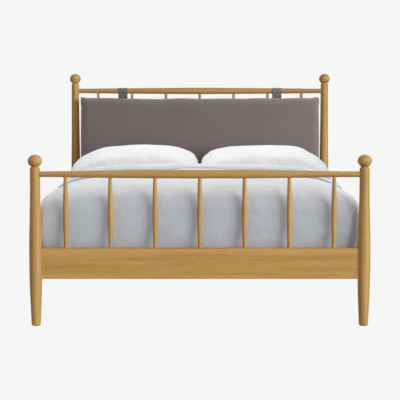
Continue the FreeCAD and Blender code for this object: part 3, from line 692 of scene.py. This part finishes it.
def build_duvet():
    half_n = 62
    n = 2 * half_n
    nz = 18
    p, faces = box_grid(n, n, nz)
    u, v, w = p[:, 0], p[:, 1], p[:, 2]
    m = np.maximum(np.abs(u), np.abs(v))
    q = np.stack([u, v], 1) / np.maximum(m, 1e-9)[:, None]
    k = (1 - m) * half_n
    near = 18
    d = np.where(k < near, 0.20 * (k / near) ** 2.0, 0.20 + (HALF - 0.20) * (k - near) / (half_n - near))
    d = np.where(np.abs(w) < 0.999, 0.0, d)
    yc, hy = (FOOT_Y + MAIN_END) / 2, (MAIN_END - FOOT_Y) / 2

    def ring(d, hx, hy, rx, ry=None):
        """Rectangle d inside the outline, its corners rounded by rx across and ry along the bed."""
        ax, ay = hx - d, hy - d * hy / hx
        most = 0.9 * np.minimum(ax, ay)
        rx, ry = np.minimum(rx + 1.1 * d, most), np.minimum((rx if ry is None else ry) + 1.1 * d, most)
        px, py = q[:, 0] * ax, q[:, 1] * ay
        jx, jy = np.clip(px, -(ax - rx), ax - rx), np.clip(py, -(ay - ry), ay - ry)
        ex, ey = (px - jx) / rx, (py - jy) / ry
        mx, nn = np.maximum(np.abs(ex), np.abs(ey)), np.hypot(ex, ey)
        f = np.where(nn > 1e-9, mx / np.maximum(nn, 1e-9), 1.0)
        return jx + ex * f * rx, jy + ey * f * ry

    # the left foot corner is pushed out against its post, the right one is round
    foot_right = (v < 0) & (u > 0)
    lower = np.clip((0.35 - w) / 1.35, 0, 1)
    corner_x = np.where(foot_right, 0.045 + 0.034 * lower, np.where(v < 0, 0.007, 0.020))
    corner_y = np.where(foot_right, 0.085 + 0.030 * lower, np.where(v < 0, 0.007, 0.020))
    X, Y = ring(d, HALF, hy, corner_x, corner_y)
    Y = Y + yc
    at_head = smoothstep(MAIN_END - 0.10, MAIN_END - 0.02, Y)
    rim_x, rim_y = ring(np.zeros(len(u)), HALF, hy, corner_x, corner_y)
    rim = main_top(rim_x, rim_y + yc)
    low = HEM + (0.5705 - HEM) * at_head
    outer_z = np.where(w > 0.999, main_top(X, Y), low + (rim - low) * (w + 1) / 2)
    # the foot end is tucked in: it leans back to the mattress below the bulge
    near_foot = smoothstep(0.06, 0.0, Y - FOOT_Y)
    Y = Y + near_foot * 0.020 * np.clip((0.50 - outer_z) / 0.16, 0, 1) ** 1.6
    above_rail = smoothstep(0.375, 0.41, outer_z) * smoothstep(-0.80, -0.93, Y)
    X = X + above_rail * np.where(u > 0, 0.0055 * smoothstep(0.68, 0.74, X), -0.0085 * smoothstep(0.68, 0.74, -X))
    # the lower face follows the mattress: flat on top of it, hanging beside it
    inner_r = np.where(foot_right, 0.066, 0.030)
    IX, IY = ring(np.clip(d, 0, HALF), 0.7412, hy - 0.017, inner_r)
    IY = IY + yc + 0.017
    inner_z = np.full(len(u), 0.5697)
    top_mask = w > -0.999
    # closed skin: outer shell from the box, its floor replaced by a tray
    Z = outer_z.copy()
    floor_v = ~top_mask
    rimfloor = floor_v & (m > 0.999)
    inside = floor_v & (m <= 0.999)
    X[inside], Y[inside] = IX[inside], IY[inside]
    kk = k[inside]
    head_in = smoothstep(MAIN_END - 0.10, MAIN_END - 0.02, IY[inside])
    hem_in = HEM + (0.5697 - HEM) * head_in
    # first rings climb the mattress side, the rest lie on its top
    climb = np.clip((kk - 1) / 4.0, 0, 1)
    Z[inside] = hem_in + (0.5697 - hem_in) * climb
    Z[rimfloor] = low[rimfloor]
    ring_in = kk < 5.5
    bx, by = ring(np.zeros(len(u)), 0.7412, hy - 0.017, inner_r)
    idx = np.nonzero(inside)[0][ring_in]
    X[idx], Y[idx] = bx[idx], by[idx] + yc + 0.017
    co = np.stack([X, Y, Z], 1)
    o = new_object("duvet_quilt", co, faces, DUVET_CLOTH)
    outer = np.ones(len(co), bool)
    outer[floor_v] = False

    # turned-back end, as a closed strip lofted across the bed
    rows = [(-0.2960, 0.0030), (-0.3050, 0.0033), (-0.3130, 0.0044), (-0.3195, 0.0066), (-0.3240, 0.0100),
            (-0.3263, 0.0142), (-0.3257, 0.0178), (-0.3228, 0.0202), (-0.3182, 0.0212), (-0.3130, 0.0208),
            (-0.3085, 0.0200), (-0.3050, 0.0208), (-0.2990, 0.0234), (-0.285, 0.0290)]
    for y in np.linspace(-0.27, 0.17, 41):
        rows.append((float(y), float(hermite(y, [(-0.27, 0.0350), (-0.1, 0.0405), (0.05, 0.0415), (0.17, 0.0375)]))))
    rows += [(0.182, 0.0368), (0.194, 0.0360), (0.206, 0.0352), (0.217, 0.0346), (0.233, 0.0344), (0.248, 0.0344),
             (0.258, 0.0345), (0.2640, 0.0347)]
    n_flat = len(rows)
    for a in np.radians(np.linspace(250, 84, 17)):
        rows.append((0.2722 + 0.0137 * math.cos(a), 0.0479 + 0.0137 * math.sin(a)))
    rows += [(0.2800, 0.0618), (0.2880, 0.0616), (0.297, 0.0608), (0.306, 0.0575), (0.314, 0.0515), (0.320, 0.0440), (0.3245, 0.0350), (0.3270, 0.0250),
             (0.3280, 0.0140), (0.3275, 0.0020), (0.3260, -0.0100), (0.3240, -0.0220), (0.3210, -0.0340),
             (0.3170, -0.0460), (0.3110, -0.0570), (0.3030, -0.0660)]
    n_out = len(rows)
    rows += [(0.294, -0.064), (0.2920, -0.050), (0.2930, -0.035), (0.2940, -0.020), (0.290, -0.008), (0.280, -0.002)]
    for y in np.linspace(0.262, -0.292, 44):
        rows.append((float(y), float(interp(y, [(-0.292, 0.0010), (-0.275, -0.001), (0.27, -0.001)]))))
    ry = np.array([r[0] for r in rows]); rh = np.array([r[1] for r in rows])
    M = len(rows)
    # left and right of the middle the upper layer sinks a little in front of the roll, and the roll hangs lower
    sag = np.where(np.arange(M) < n_flat, smoothstep(-0.27, -0.14, ry),
                   np.where(np.arange(M) < n_flat + 17, np.clip((0.0479 - rh) / 0.013, 0, 1), 0.0))
    cols_top, cols_wall = 150, 22
    sect = []
    for t in np.linspace(0, 1, cols_wall, endpoint=False):
        sect.append((-1.0, t, 1.0))
    for t in np.linspace(-1, 1, cols_top + 1):
        # crowd the columns towards the shoulders
        x = math.sin(t * math.pi / 2 * 0.93) / math.sin(math.pi / 2 * 0.93)
        sect.append((x, 1.0, 0.0))
    for t in np.linspace(1, 0, cols_wall + 1)[1:]:
        sect.append((1.0, t, 1.0))
    verts = []
    for sx, t, wall in sect:
        x_b = sx * (HALF - 0.0005)
        if wall:
            nrm = (1.0 if sx > 0 else -1.0, 0.0)
            f = 0.062 + 0.078 * t ** 3
        else:
            # outward normal of the section below
            e = 0.004
            xa, xb = max(-HALF, x_b - e), min(HALF, x_b + e)
            za, zb = main_top(np.array(xa), np.array(-0.1)), main_top(np.array(xb), np.array(-0.1))
            tx, tz = xb - xa, float(zb - za)
            ln = math.hypot(tx, tz)
            nrm = (-tz / ln, tx / ln)
            f = float(hermite(abs(x_b), [(0, 1.0), (0.30, 1.0), (0.45, 0.98), (0.55, 0.93), (0.62, 0.87), (0.68, 0.76),
                                         (0.72, 0.56), (0.74, 0.32), (0.748, 0.14)]))
            if x_b > 0:
                # on the right the turned-back hem thins out before the corner
                lip = float(hermite(x_b, [(0, 1.0), (0.30, 1.0), (0.45, 0.98), (0.55, 0.92), (0.62, 0.80), (0.66, 0.58),
                                          (0.69, 0.36), (0.72, 0.20), (0.748, 0.14)]))
                f = lip + (f - lip) * smoothstep(-0.28, -0.20, ry)
        base_top = main_top(np.full(M, x_b), ry)
        # the layer below is flat under the fold
        base_ref = main_top(np.full(M, x_b), np.minimum(ry, MAIN_END - 0.055))
        z_b = base_ref
        if wall:
            low_w = HEM + 0.002
            z_b = low_w + (base_ref - low_w) * t
        h = np.where(rh > 0, rh * f, rh * (f if wall else 1.0))
        if not wall:
            h = h - 0.0058 * sag * float(smoothstep(0.08, 0.17, abs(x_b)) * (1 - smoothstep(0.50, 0.66, abs(x_b))))
        if not wall:
            # never below the mattress top
            z = z_b + nrm[1] * h
            z = np.maximum(z, 0.5695)
            xx = x_b + nrm[0] * np.where(rh > 0, h, 0)
        else:
            z = z_b
            xx = x_b + nrm[0] * h
            z = np.maximum(z, HEM)
        for j in range(M):
            verts.append((float(xx[j]), float(ry[j]), float(z[j])))
    f2 = []
    C = len(sect)
    for c in range(C - 1):
        for j in range(M):
            j2 = (j + 1) % M
            f2.append((c * M + j, c * M + j2, (c + 1) * M + j2, (c + 1) * M + j))
    for c in (0, C - 1):
        for j in range(M // 2):
            a, b2, c2, d2 = j, j + 1, M - 2 - j, M - 1 - j
            if b2 >= c2:
                break
            quad = (c * M + a, c * M + b2, c * M + c2, c * M + d2)
            f2.append(quad if c else quad[::-1])
    flap = new_object("flap", verts, f2, DUVET_CLOTH)
    bpy.context.view_layer.objects.active = flap
    join(o, [flap])
    o.name = "duvet_quilt"
    bm = bmesh.new()
    bm.from_mesh(o.data)
    bmesh.ops.remove_doubles(bm, verts=bm.verts, dist=1e-5)
    bmesh.ops.recalc_face_normals(bm, faces=bm.faces)
    bm.to_mesh(o.data)
    bm.free()
    o.data.update()

    co = coords(o)
    nrm = np.array([vv.normal[:] for vv in o.data.vertices])
    amp = np.zeros(len(co))
    for i, c in enumerate(co):
        x, y, z = c
        inward = 1.0 if (abs(x) < 0.735 and nrm[i][2] < -0.3) else 0.0
        if inward:
            continue
        if z < 0.5690 and nrm[i][0] * x + nrm[i][1] * (y + 0.36) < 0:
            continue
        k_side = 0.75 if z < 0.60 else 1.0
        k_side *= 1.0 - 0.75 * math.exp(-((y - FOLD_Y) / 0.03) ** 2)
        amp[i] = k_side * cloth_relief(x, y, z, 0)
    co = co + nrm * amp[:, None]
    wide = np.where(co[:, 2] > 0.40, 0.7585, 0.7535)
    co[:, 0] = np.clip(co[:, 0], -wide, wide)
    co[:, 1] = np.clip(co[:, 1], -1.0185, 0.3300)
    # where it meets the foot posts it gives way and hugs them
    for sx in (-1, 1):
        dx, dy = co[:, 0] - sx * 0.7725, co[:, 1] + 1.040
        dist = np.maximum(np.hypot(dx, dy), 1e-6)
        # above the rail it also clears the knob, which it passes when it is lifted off
        keep_out = np.maximum(interp(co[:, 2], FOOT_POST_R) + 0.0022, 0.0355 * smoothstep(0.41, 0.445, co[:, 2]))
        push = np.where(dist < keep_out, keep_out / dist, 1.0)
        co[:, 0] = sx * 0.7725 + dx * push
        co[:, 1] = -1.040 + dy * push
    set_coords(o, co)
    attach(o, "duvet_body")
    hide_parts("duvet")
    return o


# ------------------------------------------------------------------ pillows
# outline seen from the foot: distance from the outer end against height of the crown
PILLOW_TOP = [(0.005, 0.680), (0.011, 0.7081), (0.023, 0.7246), (0.037, 0.7435), (0.065, 0.7564), (0.095, 0.7702),
              (0.125, 0.7821), (0.155, 0.7885), (0.19, 0.7920), (0.23, 0.7952), (0.29, 0.7975), (0.35, 0.7985),
              (0.42, 0.7962), (0.48, 0.7905), (0.54, 0.7865), (0.57, 0.7822), (0.6, 0.7745), (0.63, 0.7635),
              (0.66, 0.7493), (0.69, 0.7352), (0.713, 0.7235), (0.731, 0.7115), (0.749, 0.6945), (0.759, 0.6783),
              (0.763, 0.661)]
PILLOW_TOP_RIGHT = [(0.005, 0.692), (0.011, 0.7165), (0.023, 0.7288), (0.037, 0.7398), (0.065, 0.7577), (0.095, 0.7698),
                    (0.125, 0.7780), (0.155, 0.7832), (0.19, 0.7875), (0.23, 0.7900), (0.29, 0.7925), (0.35, 0.7942),
                    (0.42, 0.7949), (0.48, 0.7940), (0.54, 0.7922), (0.57, 0.7885), (0.6, 0.7825), (0.63, 0.7697),
                    (0.66, 0.7502), (0.69, 0.7350), (0.713, 0.7205), (0.731, 0.7085), (0.749, 0.6900), (0.759, 0.6760),
                    (0.763, 0.665)]


def rim_loop(nx, ny):
    """Corner numbers of the sewn edge of an envelope, in order."""
    def f(i, j):
        return j * (nx + 1) + i
    return ([f(i, 0) for i in range(nx)] + [f(nx, j) for j in range(ny)]
            + [f(i, ny) for i in range(nx, 0, -1)] + [f(0, j) for j in range(ny, 0, -1)])


def build_pillow(side):
    sgn = -1 if side == "left" else 1
    nx, ny = 66, 46
    v, faces = envelope(nx, ny)
    W, H, T = 0.800, 0.560, 0.030
    prof = (np.clip(1 - np.abs(v[:, 0]) ** 4, 0, 1) * np.clip(1 - np.abs(v[:, 1]) ** 4, 0, 1)) ** 0.5
    co = np.stack([v[:, 0] * W / 2, v[:, 1] * H / 2, v[:, 2] * T * (0.15 + prof)], 1)
    edge = np.isclose(np.abs(v[:, 0]), 1) | np.isclose(np.abs(v[:, 1]), 1)
    co[edge, 2] = 0
    seed = 4.0 if side == "left" else 19.0
    for i in range(len(co)):
        co[i, 2] += 0.004 * fbm(co[i], 7.0, 2, seed) * (0 if edge[i] else 1)
    o = new_object("pillow_" + side + "_case", co, faces, PILLOW_CLOTH)
    # a filled bag: rounded ends, long sides drawn in a little, crowned on both faces
    u, w = v[:, 0], v[:, 1]
    r = np.clip(1 - np.abs(u) ** 2.4, 0, 1) * np.clip(1 - np.abs(w) ** 2.4, 0, 1)
    c2 = coords(o)
    c2[:, 2] = v[:, 2] * 0.105 * r ** 0.56 + 0.0035 * np.array([fbm(q, 5.0, 2, seed) for q in c2]) * (r > 0.02)
    wander = np.array([fbm(q * 1.0, 9.0, 2, seed + 3.0) for q in c2])
    ends = smoothstep(0.50, 0.88, np.abs(u)) * np.clip(1 - np.abs(u) ** 10, 0, 1)
    sides = smoothstep(0.62, 0.92, np.abs(w)) * np.clip(1 - np.abs(w) ** 10, 0, 1)
    c2[:, 2] += v[:, 2] * (0.0042 * ends * np.sin(w * 19.0 + 3.4 * wander + u) ** 3
                           + 0.0030 * sides * np.sin(u * 31.0 + 4.0 * wander + w * 2) ** 3)
    c2[:, 0] = 0.380 * u * np.sqrt(1 - 0.15 * w ** 2) * (0.985 + 0.015 * w ** 2)
    c2[:, 1] = 0.266 * w * np.sqrt(1 - 0.12 * u ** 2) * (0.970 + 0.030 * u ** 2)
    set_coords(o, c2)
    run_cloth(o, 18, pressure=4.5, shrink=-0.035, mass=0.2, tension=7, compression=5, bending=0.12, cap=0.013)
    c = coords(o)
    # to the real size: the sewn bag draws in as it fills
    lo, hi = c.min(0), c.max(0)
    c = (c - (lo + hi) / 2) / (hi - lo)
    c *= np.array([0.757, 0.500, 0.205])
    # lean back against the cushion: tilt about X, then settle on the mattress
    a = math.radians(9.0)
    ca, sa = math.cos(a), math.sin(a)
    y, z = c[:, 1] * ca - c[:, 2] * sa, c[:, 1] * sa + c[:, 2] * ca
    c[:, 1], c[:, 2] = y, z
    c[:, 0] = c[:, 0] * sgn
    if sgn < 0:
        o.data.flip_normals()
    x0 = sgn * 0.3835
    c += np.array([x0, 0.650, 0.690])
    # crown follows the outline seen from the foot
    ax = np.clip(np.abs(c[:, 0]), 0.005, 0.763)
    want = interp(ax, PILLOW_TOP if sgn < 0 else PILLOW_TOP_RIGHT)
    col = {}
    bins = np.round(ax / 0.012).astype(int)
    tops = {}
    for b in np.unique(bins):
        tops[b] = c[bins == b, 2].max()
    keys = np.array(sorted(tops))
    raw = np.array([tops[k] for k in keys])
    soft = np.convolve(np.pad(raw, 3, mode="edge"), np.ones(7) / 7, mode="valid")
    keep = np.maximum(smoothstep(0.07, 0.03, keys * 0.012), smoothstep(0.69, 0.73, keys * 0.012))
    vals = soft + (raw - soft) * keep
    cur = np.interp(ax / 0.012, keys, vals)
    base = 0.600
    f = np.clip((c[:, 2] - base) / np.maximum(cur - base, 0.02), 0, 1.05)
    c[:, 2] = np.where(c[:, 2] > base, base + f * (want - base), c[:, 2])
    # flat where it lies on the mattress
    floor = 0.5690
    c[:, 2] = np.where(c[:, 2] < floor + 0.012, floor + np.maximum(0, (c[:, 2] - floor + 0.012)) * 0.5, c[:, 2])
    c[:, 2] = np.maximum(c[:, 2], floor)
    c[:, 1] = np.clip(c[:, 1], 0.398, 0.905)
    c[:, 0] = np.where(sgn * c[:, 0] < 0.004, sgn * 0.004, c[:, 0])
    set_coords(o, c)
    subdivide(o, 1)
    join(o, [tube("seam", coords(o)[rim_loop(nx, ny)], 0.0016, PILLOW_CLOTH, 6)])
    o.name = "pillow_%s_case" % side
    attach(o, "pillow_" + side + "_body")
    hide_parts("pillow_" + side)
    return o


# ------------------------------------------------------------------ headboard cushion
# how far the upper seam hangs below its corners, across the bed
CUSHION_SAG = [(-0.735, 0.0), (-0.696, 0.0006), (-0.573, 0.0004), (-0.511, -0.0014), (-0.388, -0.0040), (-0.326, -0.0052),
               (-0.265, -0.0063), (-0.234, -0.0062), (-0.203, -0.0040), (-0.172, -0.0034), (-0.142, -0.0016),
               (-0.08, -0.0015), (-0.05, -0.0029), (-0.018, -0.0043), (0.012, -0.0043), (0.074, -0.0037),
               (0.136, -0.0023), (0.190, -0.0026), (0.259, -0.0037), (0.29, -0.0030), (0.32, -0.0014), (0.382, -0.0006),
               (0.45, -0.0014), (0.505, -0.0016), (0.567, -0.0008), (0.598, 0.0010), (0.628, 0.0024), (0.659, 0.0004),
               (0.69, -0.0032), (0.721, -0.0018), (0.735, 0.0)]


def build_cushion():
    nx, ny = 150, 56
    v, faces = envelope(nx, ny)
    W, H = 1.490, 0.512
    prof = (np.clip(1 - np.abs(v[:, 0]) ** 6, 0, 1) * np.clip(1 - np.abs(v[:, 1]) ** 4, 0, 1)) ** 0.5
    # local axes: x across, y up, z towards the foot
    co = np.stack([v[:, 0] * W / 2, v[:, 1] * H / 2, v[:, 2] * 0.020 * (0.1 + prof)], 1)
    edge = np.isclose(np.abs(v[:, 0]), 1) | np.isclose(np.abs(v[:, 1]), 1)
    co[edge, 2] = 0
    for i in range(len(co)):
        co[i, 2] += 0.003 * fbm(co[i], 6.0, 2, 41.0) * (0 if edge[i] else 1)
    o = new_object("cushion_cover", co, faces, CUSHION_CLOTH)
    # a boxy pad: full face, round shoulders about 45 mm deep along the seams
    def shoulder(dist, radius):
        return np.sqrt(np.clip(1 - (1 - np.clip(dist / radius, 0, 1)) ** 2, 0, 1))
    c = coords(o)
    du, dv = (1 - np.abs(v[:, 0])) * 0.7345, (1 - np.abs(v[:, 1])) * 0.2365
    full = shoulder(du, 0.050) * shoulder(dv, 0.048)
    swell = 0.88 + 0.12 * np.cos(v[:, 0] * math.pi / 2) ** 0.5 * np.cos(v[:, 1] * math.pi / 2) ** 0.6
    c[:, 2] = v[:, 2] * 0.0415 * full * swell
    set_coords(o, c)
    run_cloth(o, 14, pressure=3.0, mass=0.25, tension=14, compression=10, bending=2.0, cap=0.006)
    c = coords(o)
    lo, hi = c.min(0), c.max(0)
    c = (c - (lo + hi) / 2) / (hi - lo)
    c *= np.array([1.469, 0.478, 0.083])
    # straight seams all round, the two upper corners drawn up into small ears
    i_of = np.round((v[:, 0] + 1) / 2 * nx).astype(int)
    j_of = np.round((v[:, 1] + 1) / 2 * ny).astype(int)
    left, right = np.zeros(ny + 1), np.zeros(ny + 1)
    top, bottom = np.zeros(nx + 1), np.zeros(nx + 1)
    for i, j, q in zip(i_of, j_of, c):
        if i == 0:
            left[j] = q[0]
        if i == nx:
            right[j] = q[0]
        if j == ny:
            top[i] = q[1]
        if j == 0:
            bottom[i] = q[1]
    vj = np.arange(ny + 1) / ny * 2 - 1
    ui = np.arange(nx + 1) / nx * 2 - 1
    half = 0.7345 + 0.0028 * np.exp(-((vj - 0.90) / 0.07) ** 2) - 0.0035 * smoothstep(0.95, 1.0, vj) \
        + 0.0028 * smoothstep(0.7, -0.1, vj)
    new_top = 0.2360 + 0.0086 * smoothstep(-0.965, -0.998, ui) + 0.0080 * smoothstep(0.915, 0.985, ui) \
        - 0.0030 * smoothstep(0.988, 1.0, ui) + interp(ui * 0.7345, CUSHION_SAG)
    new_bottom = np.full(nx + 1, -0.2390)
    mid = (left + right) / 2
    c[:, 0] = (c[:, 0] - mid[j_of]) * (2 * half / (right - left))[j_of]
    t = (c[:, 1] - bottom[i_of]) / (top - bottom)[i_of]
    c[:, 1] = new_bottom[i_of] + t * (new_top - new_bottom)[i_of]
    out = np.stack([c[:, 0], 0.9825 - c[:, 2], 0.843 + c[:, 1]], 1)
    # the back lies flat against the spindles
    out[:, 1] = np.minimum(out[:, 1], 1.0240)
    lim = interp(out[:, 2], [(0.60, 1.024), (0.88, 1.0235), (0.98, 1.0206), (1.04, 1.0198), (1.09, 1.0198)])
    out[:, 1] = np.minimum(out[:, 1], lim)
    # short pulls running in from the two upper corners
    front = v[:, 2] > 0
    pulls = np.zeros(len(out))
    for sx, angle, length, amp in ((-1, 38, 0.055, 0.0042), (-1, 62, 0.040, 0.0030), (-1, 17, 0.035, 0.0022),
                                   (1, 30, 0.050, 0.0034), (1, 55, 0.042, 0.0030), (1, 76, 0.036, 0.0020)):
        ox, oz = sx * 0.728, 1.079
        dx, dz = -sx * math.cos(math.radians(angle)), -math.sin(math.radians(angle))
        along = (out[:, 0] - ox) * dx + (out[:, 2] - oz) * dz
        perp = (out[:, 0] - ox) * dz - (out[:, 2] - oz) * dx
        pulls += amp * np.exp(-(perp / (0.0055 + 0.06 * np.maximum(along, 0))) ** 2) * smoothstep(0.0, 0.012, along) \
            * np.exp(-(np.maximum(along, 0) / length) ** 2)
    out[:, 1] -= pulls * front
    set_coords(o, out)
    subdivide(o, 1)
    join(o, [tube("seam", coords(o)[rim_loop(nx, ny)], 0.0024, CUSHION_CLOTH, 8)])
    o.name = "cushion_cover"
    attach(o, "hung_cushion")
    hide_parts("headboard_cushion")
    return o


def build_strap(side):
    """One ribbon: up from the cushion's back, over the rail, under it and down again behind itself."""
    sgn = -1 if side == "left" else 1
    r, cy, cz = 0.0179, 1.040, 1.1228
    pts = [(cy - r, z) for z in np.linspace(1.012, cz, 14)]
    a_end = math.radians(180 + 332)
    for a in np.linspace(math.pi, math.pi - 2 * math.pi + math.acos(15.9 / 17.9), 40)[1:]:
        pts.append((cy + r * math.cos(a), cz + r * math.sin(a)))
    y_b, z_b = pts[-1]
    for z in np.linspace(z_b - 0.006, 1.070, 8):
        pts.append((cy - r + 0.0021, z))
    pts = np.array(pts)
    tan = np.gradient(pts, axis=0)
    tan /= np.linalg.norm(tan, axis=1)[:, None]
    nrm = np.stack([-tan[:, 1], tan[:, 0]], 1)
    w, th = 0.0575, 0.0017
    cols = 18
    verts, faces = [], []
    n = len(pts)
    for layer in (1, -1):
        for i in range(n):
            for k in range(cols + 1):
                f = k / cols * 2 - 1
                edge = 1 - 0.35 * max(0.0, abs(f) - 0.93) / 0.07
                off = layer * th / 2 * edge
                verts.append((sgn * 0.477 + f * w / 2, pts[i, 0] + nrm[i, 0] * off, pts[i, 1] + nrm[i, 1] * off))
    def vid(l, i, k):
        return l * n * (cols + 1) + i * (cols + 1) + k
    for i in range(n - 1):
        for k in range(cols):
            faces.append((vid(0, i, k), vid(0, i, k + 1), vid(0, i + 1, k + 1), vid(0, i + 1, k)))
            faces.append((vid(1, i, k), vid(1, i + 1, k), vid(1, i + 1, k + 1), vid(1, i, k + 1)))
        faces.append((vid(0, i, 0), vid(0, i + 1, 0), vid(1, i + 1, 0), vid(1, i, 0)))
        faces.append((vid(0, i, cols), vid(1, i, cols), vid(1, i + 1, cols), vid(0, i + 1, cols)))
    for k in range(cols):
        faces.append((vid(0, 0, k), vid(1, 0, k), vid(1, 0, k + 1), vid(0, 0, k + 1)))
        faces.append((vid(0, n - 1, k), vid(0, n - 1, k + 1), vid(1, n - 1, k + 1), vid(1, n - 1, k)))
    o = new_object("strap_%s_band" % side, verts, faces, STRAP_CLOTH)
    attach(o, "hung_cushion")
    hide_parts("strap_" + side)
    return o


mattress = build_mattress()
duvet = build_duvet()
pillows = [build_pillow("left"), build_pillow("right")]
cushion = build_cushion()
straps = [build_strap("left"), build_strap("right")]

for name, o in nodes.items():
    if not o.hide_render:
        smooth_by_angle(o, 32.0)


# ------------------------------------------------------------------ stage and light
def glow(name, level):
    m = bpy.data.materials.new(name)
    m.use_nodes = True
    nt = m.node_tree
    nt.nodes.clear()
    out = nt.nodes.new("ShaderNodeOutputMaterial")
    em = nt.nodes.new("ShaderNodeEmission")
    em.inputs["Color"].default_value = (level, level, level, 1)
    nt.links.new(em.outputs[0], out.inputs["Surface"])
    return m


BACK = glow("stage_pale", 0.9215)
floor = new_object("stage_floor", [(-40, -40, -0.0005), (40, -40, -0.0005), (40, 40, -0.0005), (-40, 40, -0.0005)],
                   [(0, 1, 2, 3)], BACK, False)
bpy.ops.mesh.primitive_uv_sphere_add(segments=48, ring_count=24, radius=60, location=(0, 0, 0))
dome = bpy.context.active_object
dome.name = "stage_dome"
dome.data.materials.append(BACK)
for s_obj in (floor, dome):
    s_obj.visible_diffuse = False
    s_obj.visible_glossy = False
    s_obj.visible_transmission = False
    s_obj.visible_shadow = False

WORLD, KEY, KEY_WOOD, TOP, TOP_PILLOWS, TOP_CUSHION, FILL = 0.385, 2940.0, 3840.0, 86.0, 131.0, 66.0, 3.6
SIDE_CUSHION, LEFT_CUSHION = 4.1, 1.6
world = bpy.data.worlds.new("world")
scene.world = world
world.use_nodes = True
bg = world.node_tree.nodes["Background"]
bg.inputs["Strength"].default_value = WORLD
wn, wl = world.node_tree.nodes, world.node_tree.links
sky = wn.new("ShaderNodeTexCoord")
up = wn.new("ShaderNodeSeparateXYZ")
wl.new(sky.outputs["Generated"], up.inputs[0])
half_up = wn.new("ShaderNodeMath")
half_up.operation = "MULTIPLY_ADD"
half_up.inputs[1].default_value = half_up.inputs[2].default_value = 0.5
wl.new(up.outputs[2], half_up.inputs[0])
ramp = wn.new("ShaderNodeValToRGB")
ramp.color_ramp.elements[0].position, ramp.color_ramp.elements[0].color = 0.44, (0.640, 0.644, 0.650, 1)
ramp.color_ramp.elements[1].position, ramp.color_ramp.elements[1].color = 0.58, (1.330, 1.336, 1.350, 1)
wl.new(half_up.outputs[0], ramp.inputs["Fac"])
wl.new(ramp.outputs["Color"], bg.inputs["Color"])


def area(name, loc, target, size, energy, colour=(1, 1, 1), only=None):
    d = bpy.data.lights.new(name, "AREA")
    d.shape = "RECTANGLE"
    d.size, d.size_y = size
    d.energy = energy
    d.color = colour
    o = bpy.data.objects.new(name, d)
    o.location = loc
    o.rotation_euler = (Vector(target) - Vector(loc)).to_track_quat("-Z", "Y").to_euler()
    scene.collection.objects.link(o)
    o.visible_camera = False
    if only is not None:
        lit = bpy.data.collections.new(name + "_lit")
        for piece in only:
            lit.objects.link(piece)
        o.light_linking.receiver_collection = lit
    return o


# a card beside the bed keeps the low key off the duvet's right side, and is seen by nothing but the light
card = new_object("stage_card", [(0.8065, -1.045, 0.385), (0.8065, 0.985, 0.385), (0.8065, 0.985, 0.549), (0.8065, -1.045, 0.549)],
                  [(0, 1, 2, 3)], BACK, False)
card.visible_camera = card.visible_diffuse = card.visible_glossy = card.visible_transmission = False

OAK = [o for n, o in nodes.items() if not o.hide_render and o.type == "MESH"]
pillow_set = set(pillows)
ALL_BUT_PILLOWS = [o for o in scene.objects if o.type == "MESH" and o not in pillow_set and not o.name.startswith("stage_")]
KEY_AT = (21.408, -16.926, 7.374)
area("key_right", KEY_AT, (0, -0.2, 0.6), (14.0, 14.0), KEY, only=ALL_BUT_PILLOWS)
area("key_wood", KEY_AT, (0, -0.2, 0.6), (7.2, 7.2), KEY_WOOD, (0.70, 1.0, 1.29), only=OAK)
area("top_duvet", (-0.25, 0.5, 4.3), (0, 0.3, 0.5), (4.0, 4.0), TOP, (1.12, 1.0, 0.90), only=[duvet, mattress])
area("top_pillows", (0.2, 1.2, 4.3), (0, 0.5, 0.5), (4.0, 4.0), TOP_PILLOWS, only=pillows)
area("top_cushion", (1.1, 1.1, 4.3), (0.2, 1.0, 0.5), (4.0, 3.0), TOP_CUSHION, only=[cushion] + straps)
area("side_cushion", (1.38, 0.42, 1.12), (0.45, 0.96, 0.86), (0.6, 0.6), SIDE_CUSHION, only=[cushion] + straps)
area("left_cushion", (-1.60, 0.87, 0.95), (-0.72, 0.975, 0.86), (0.35, 0.35), LEFT_CUSHION, only=[cushion])
area("fill_left", (-2.4, -1.95, 0.85), (-0.75, -1.0, 0.5), (1.3, 1.3), FILL, (0.75, 0.92, 1.30), only=[duvet])
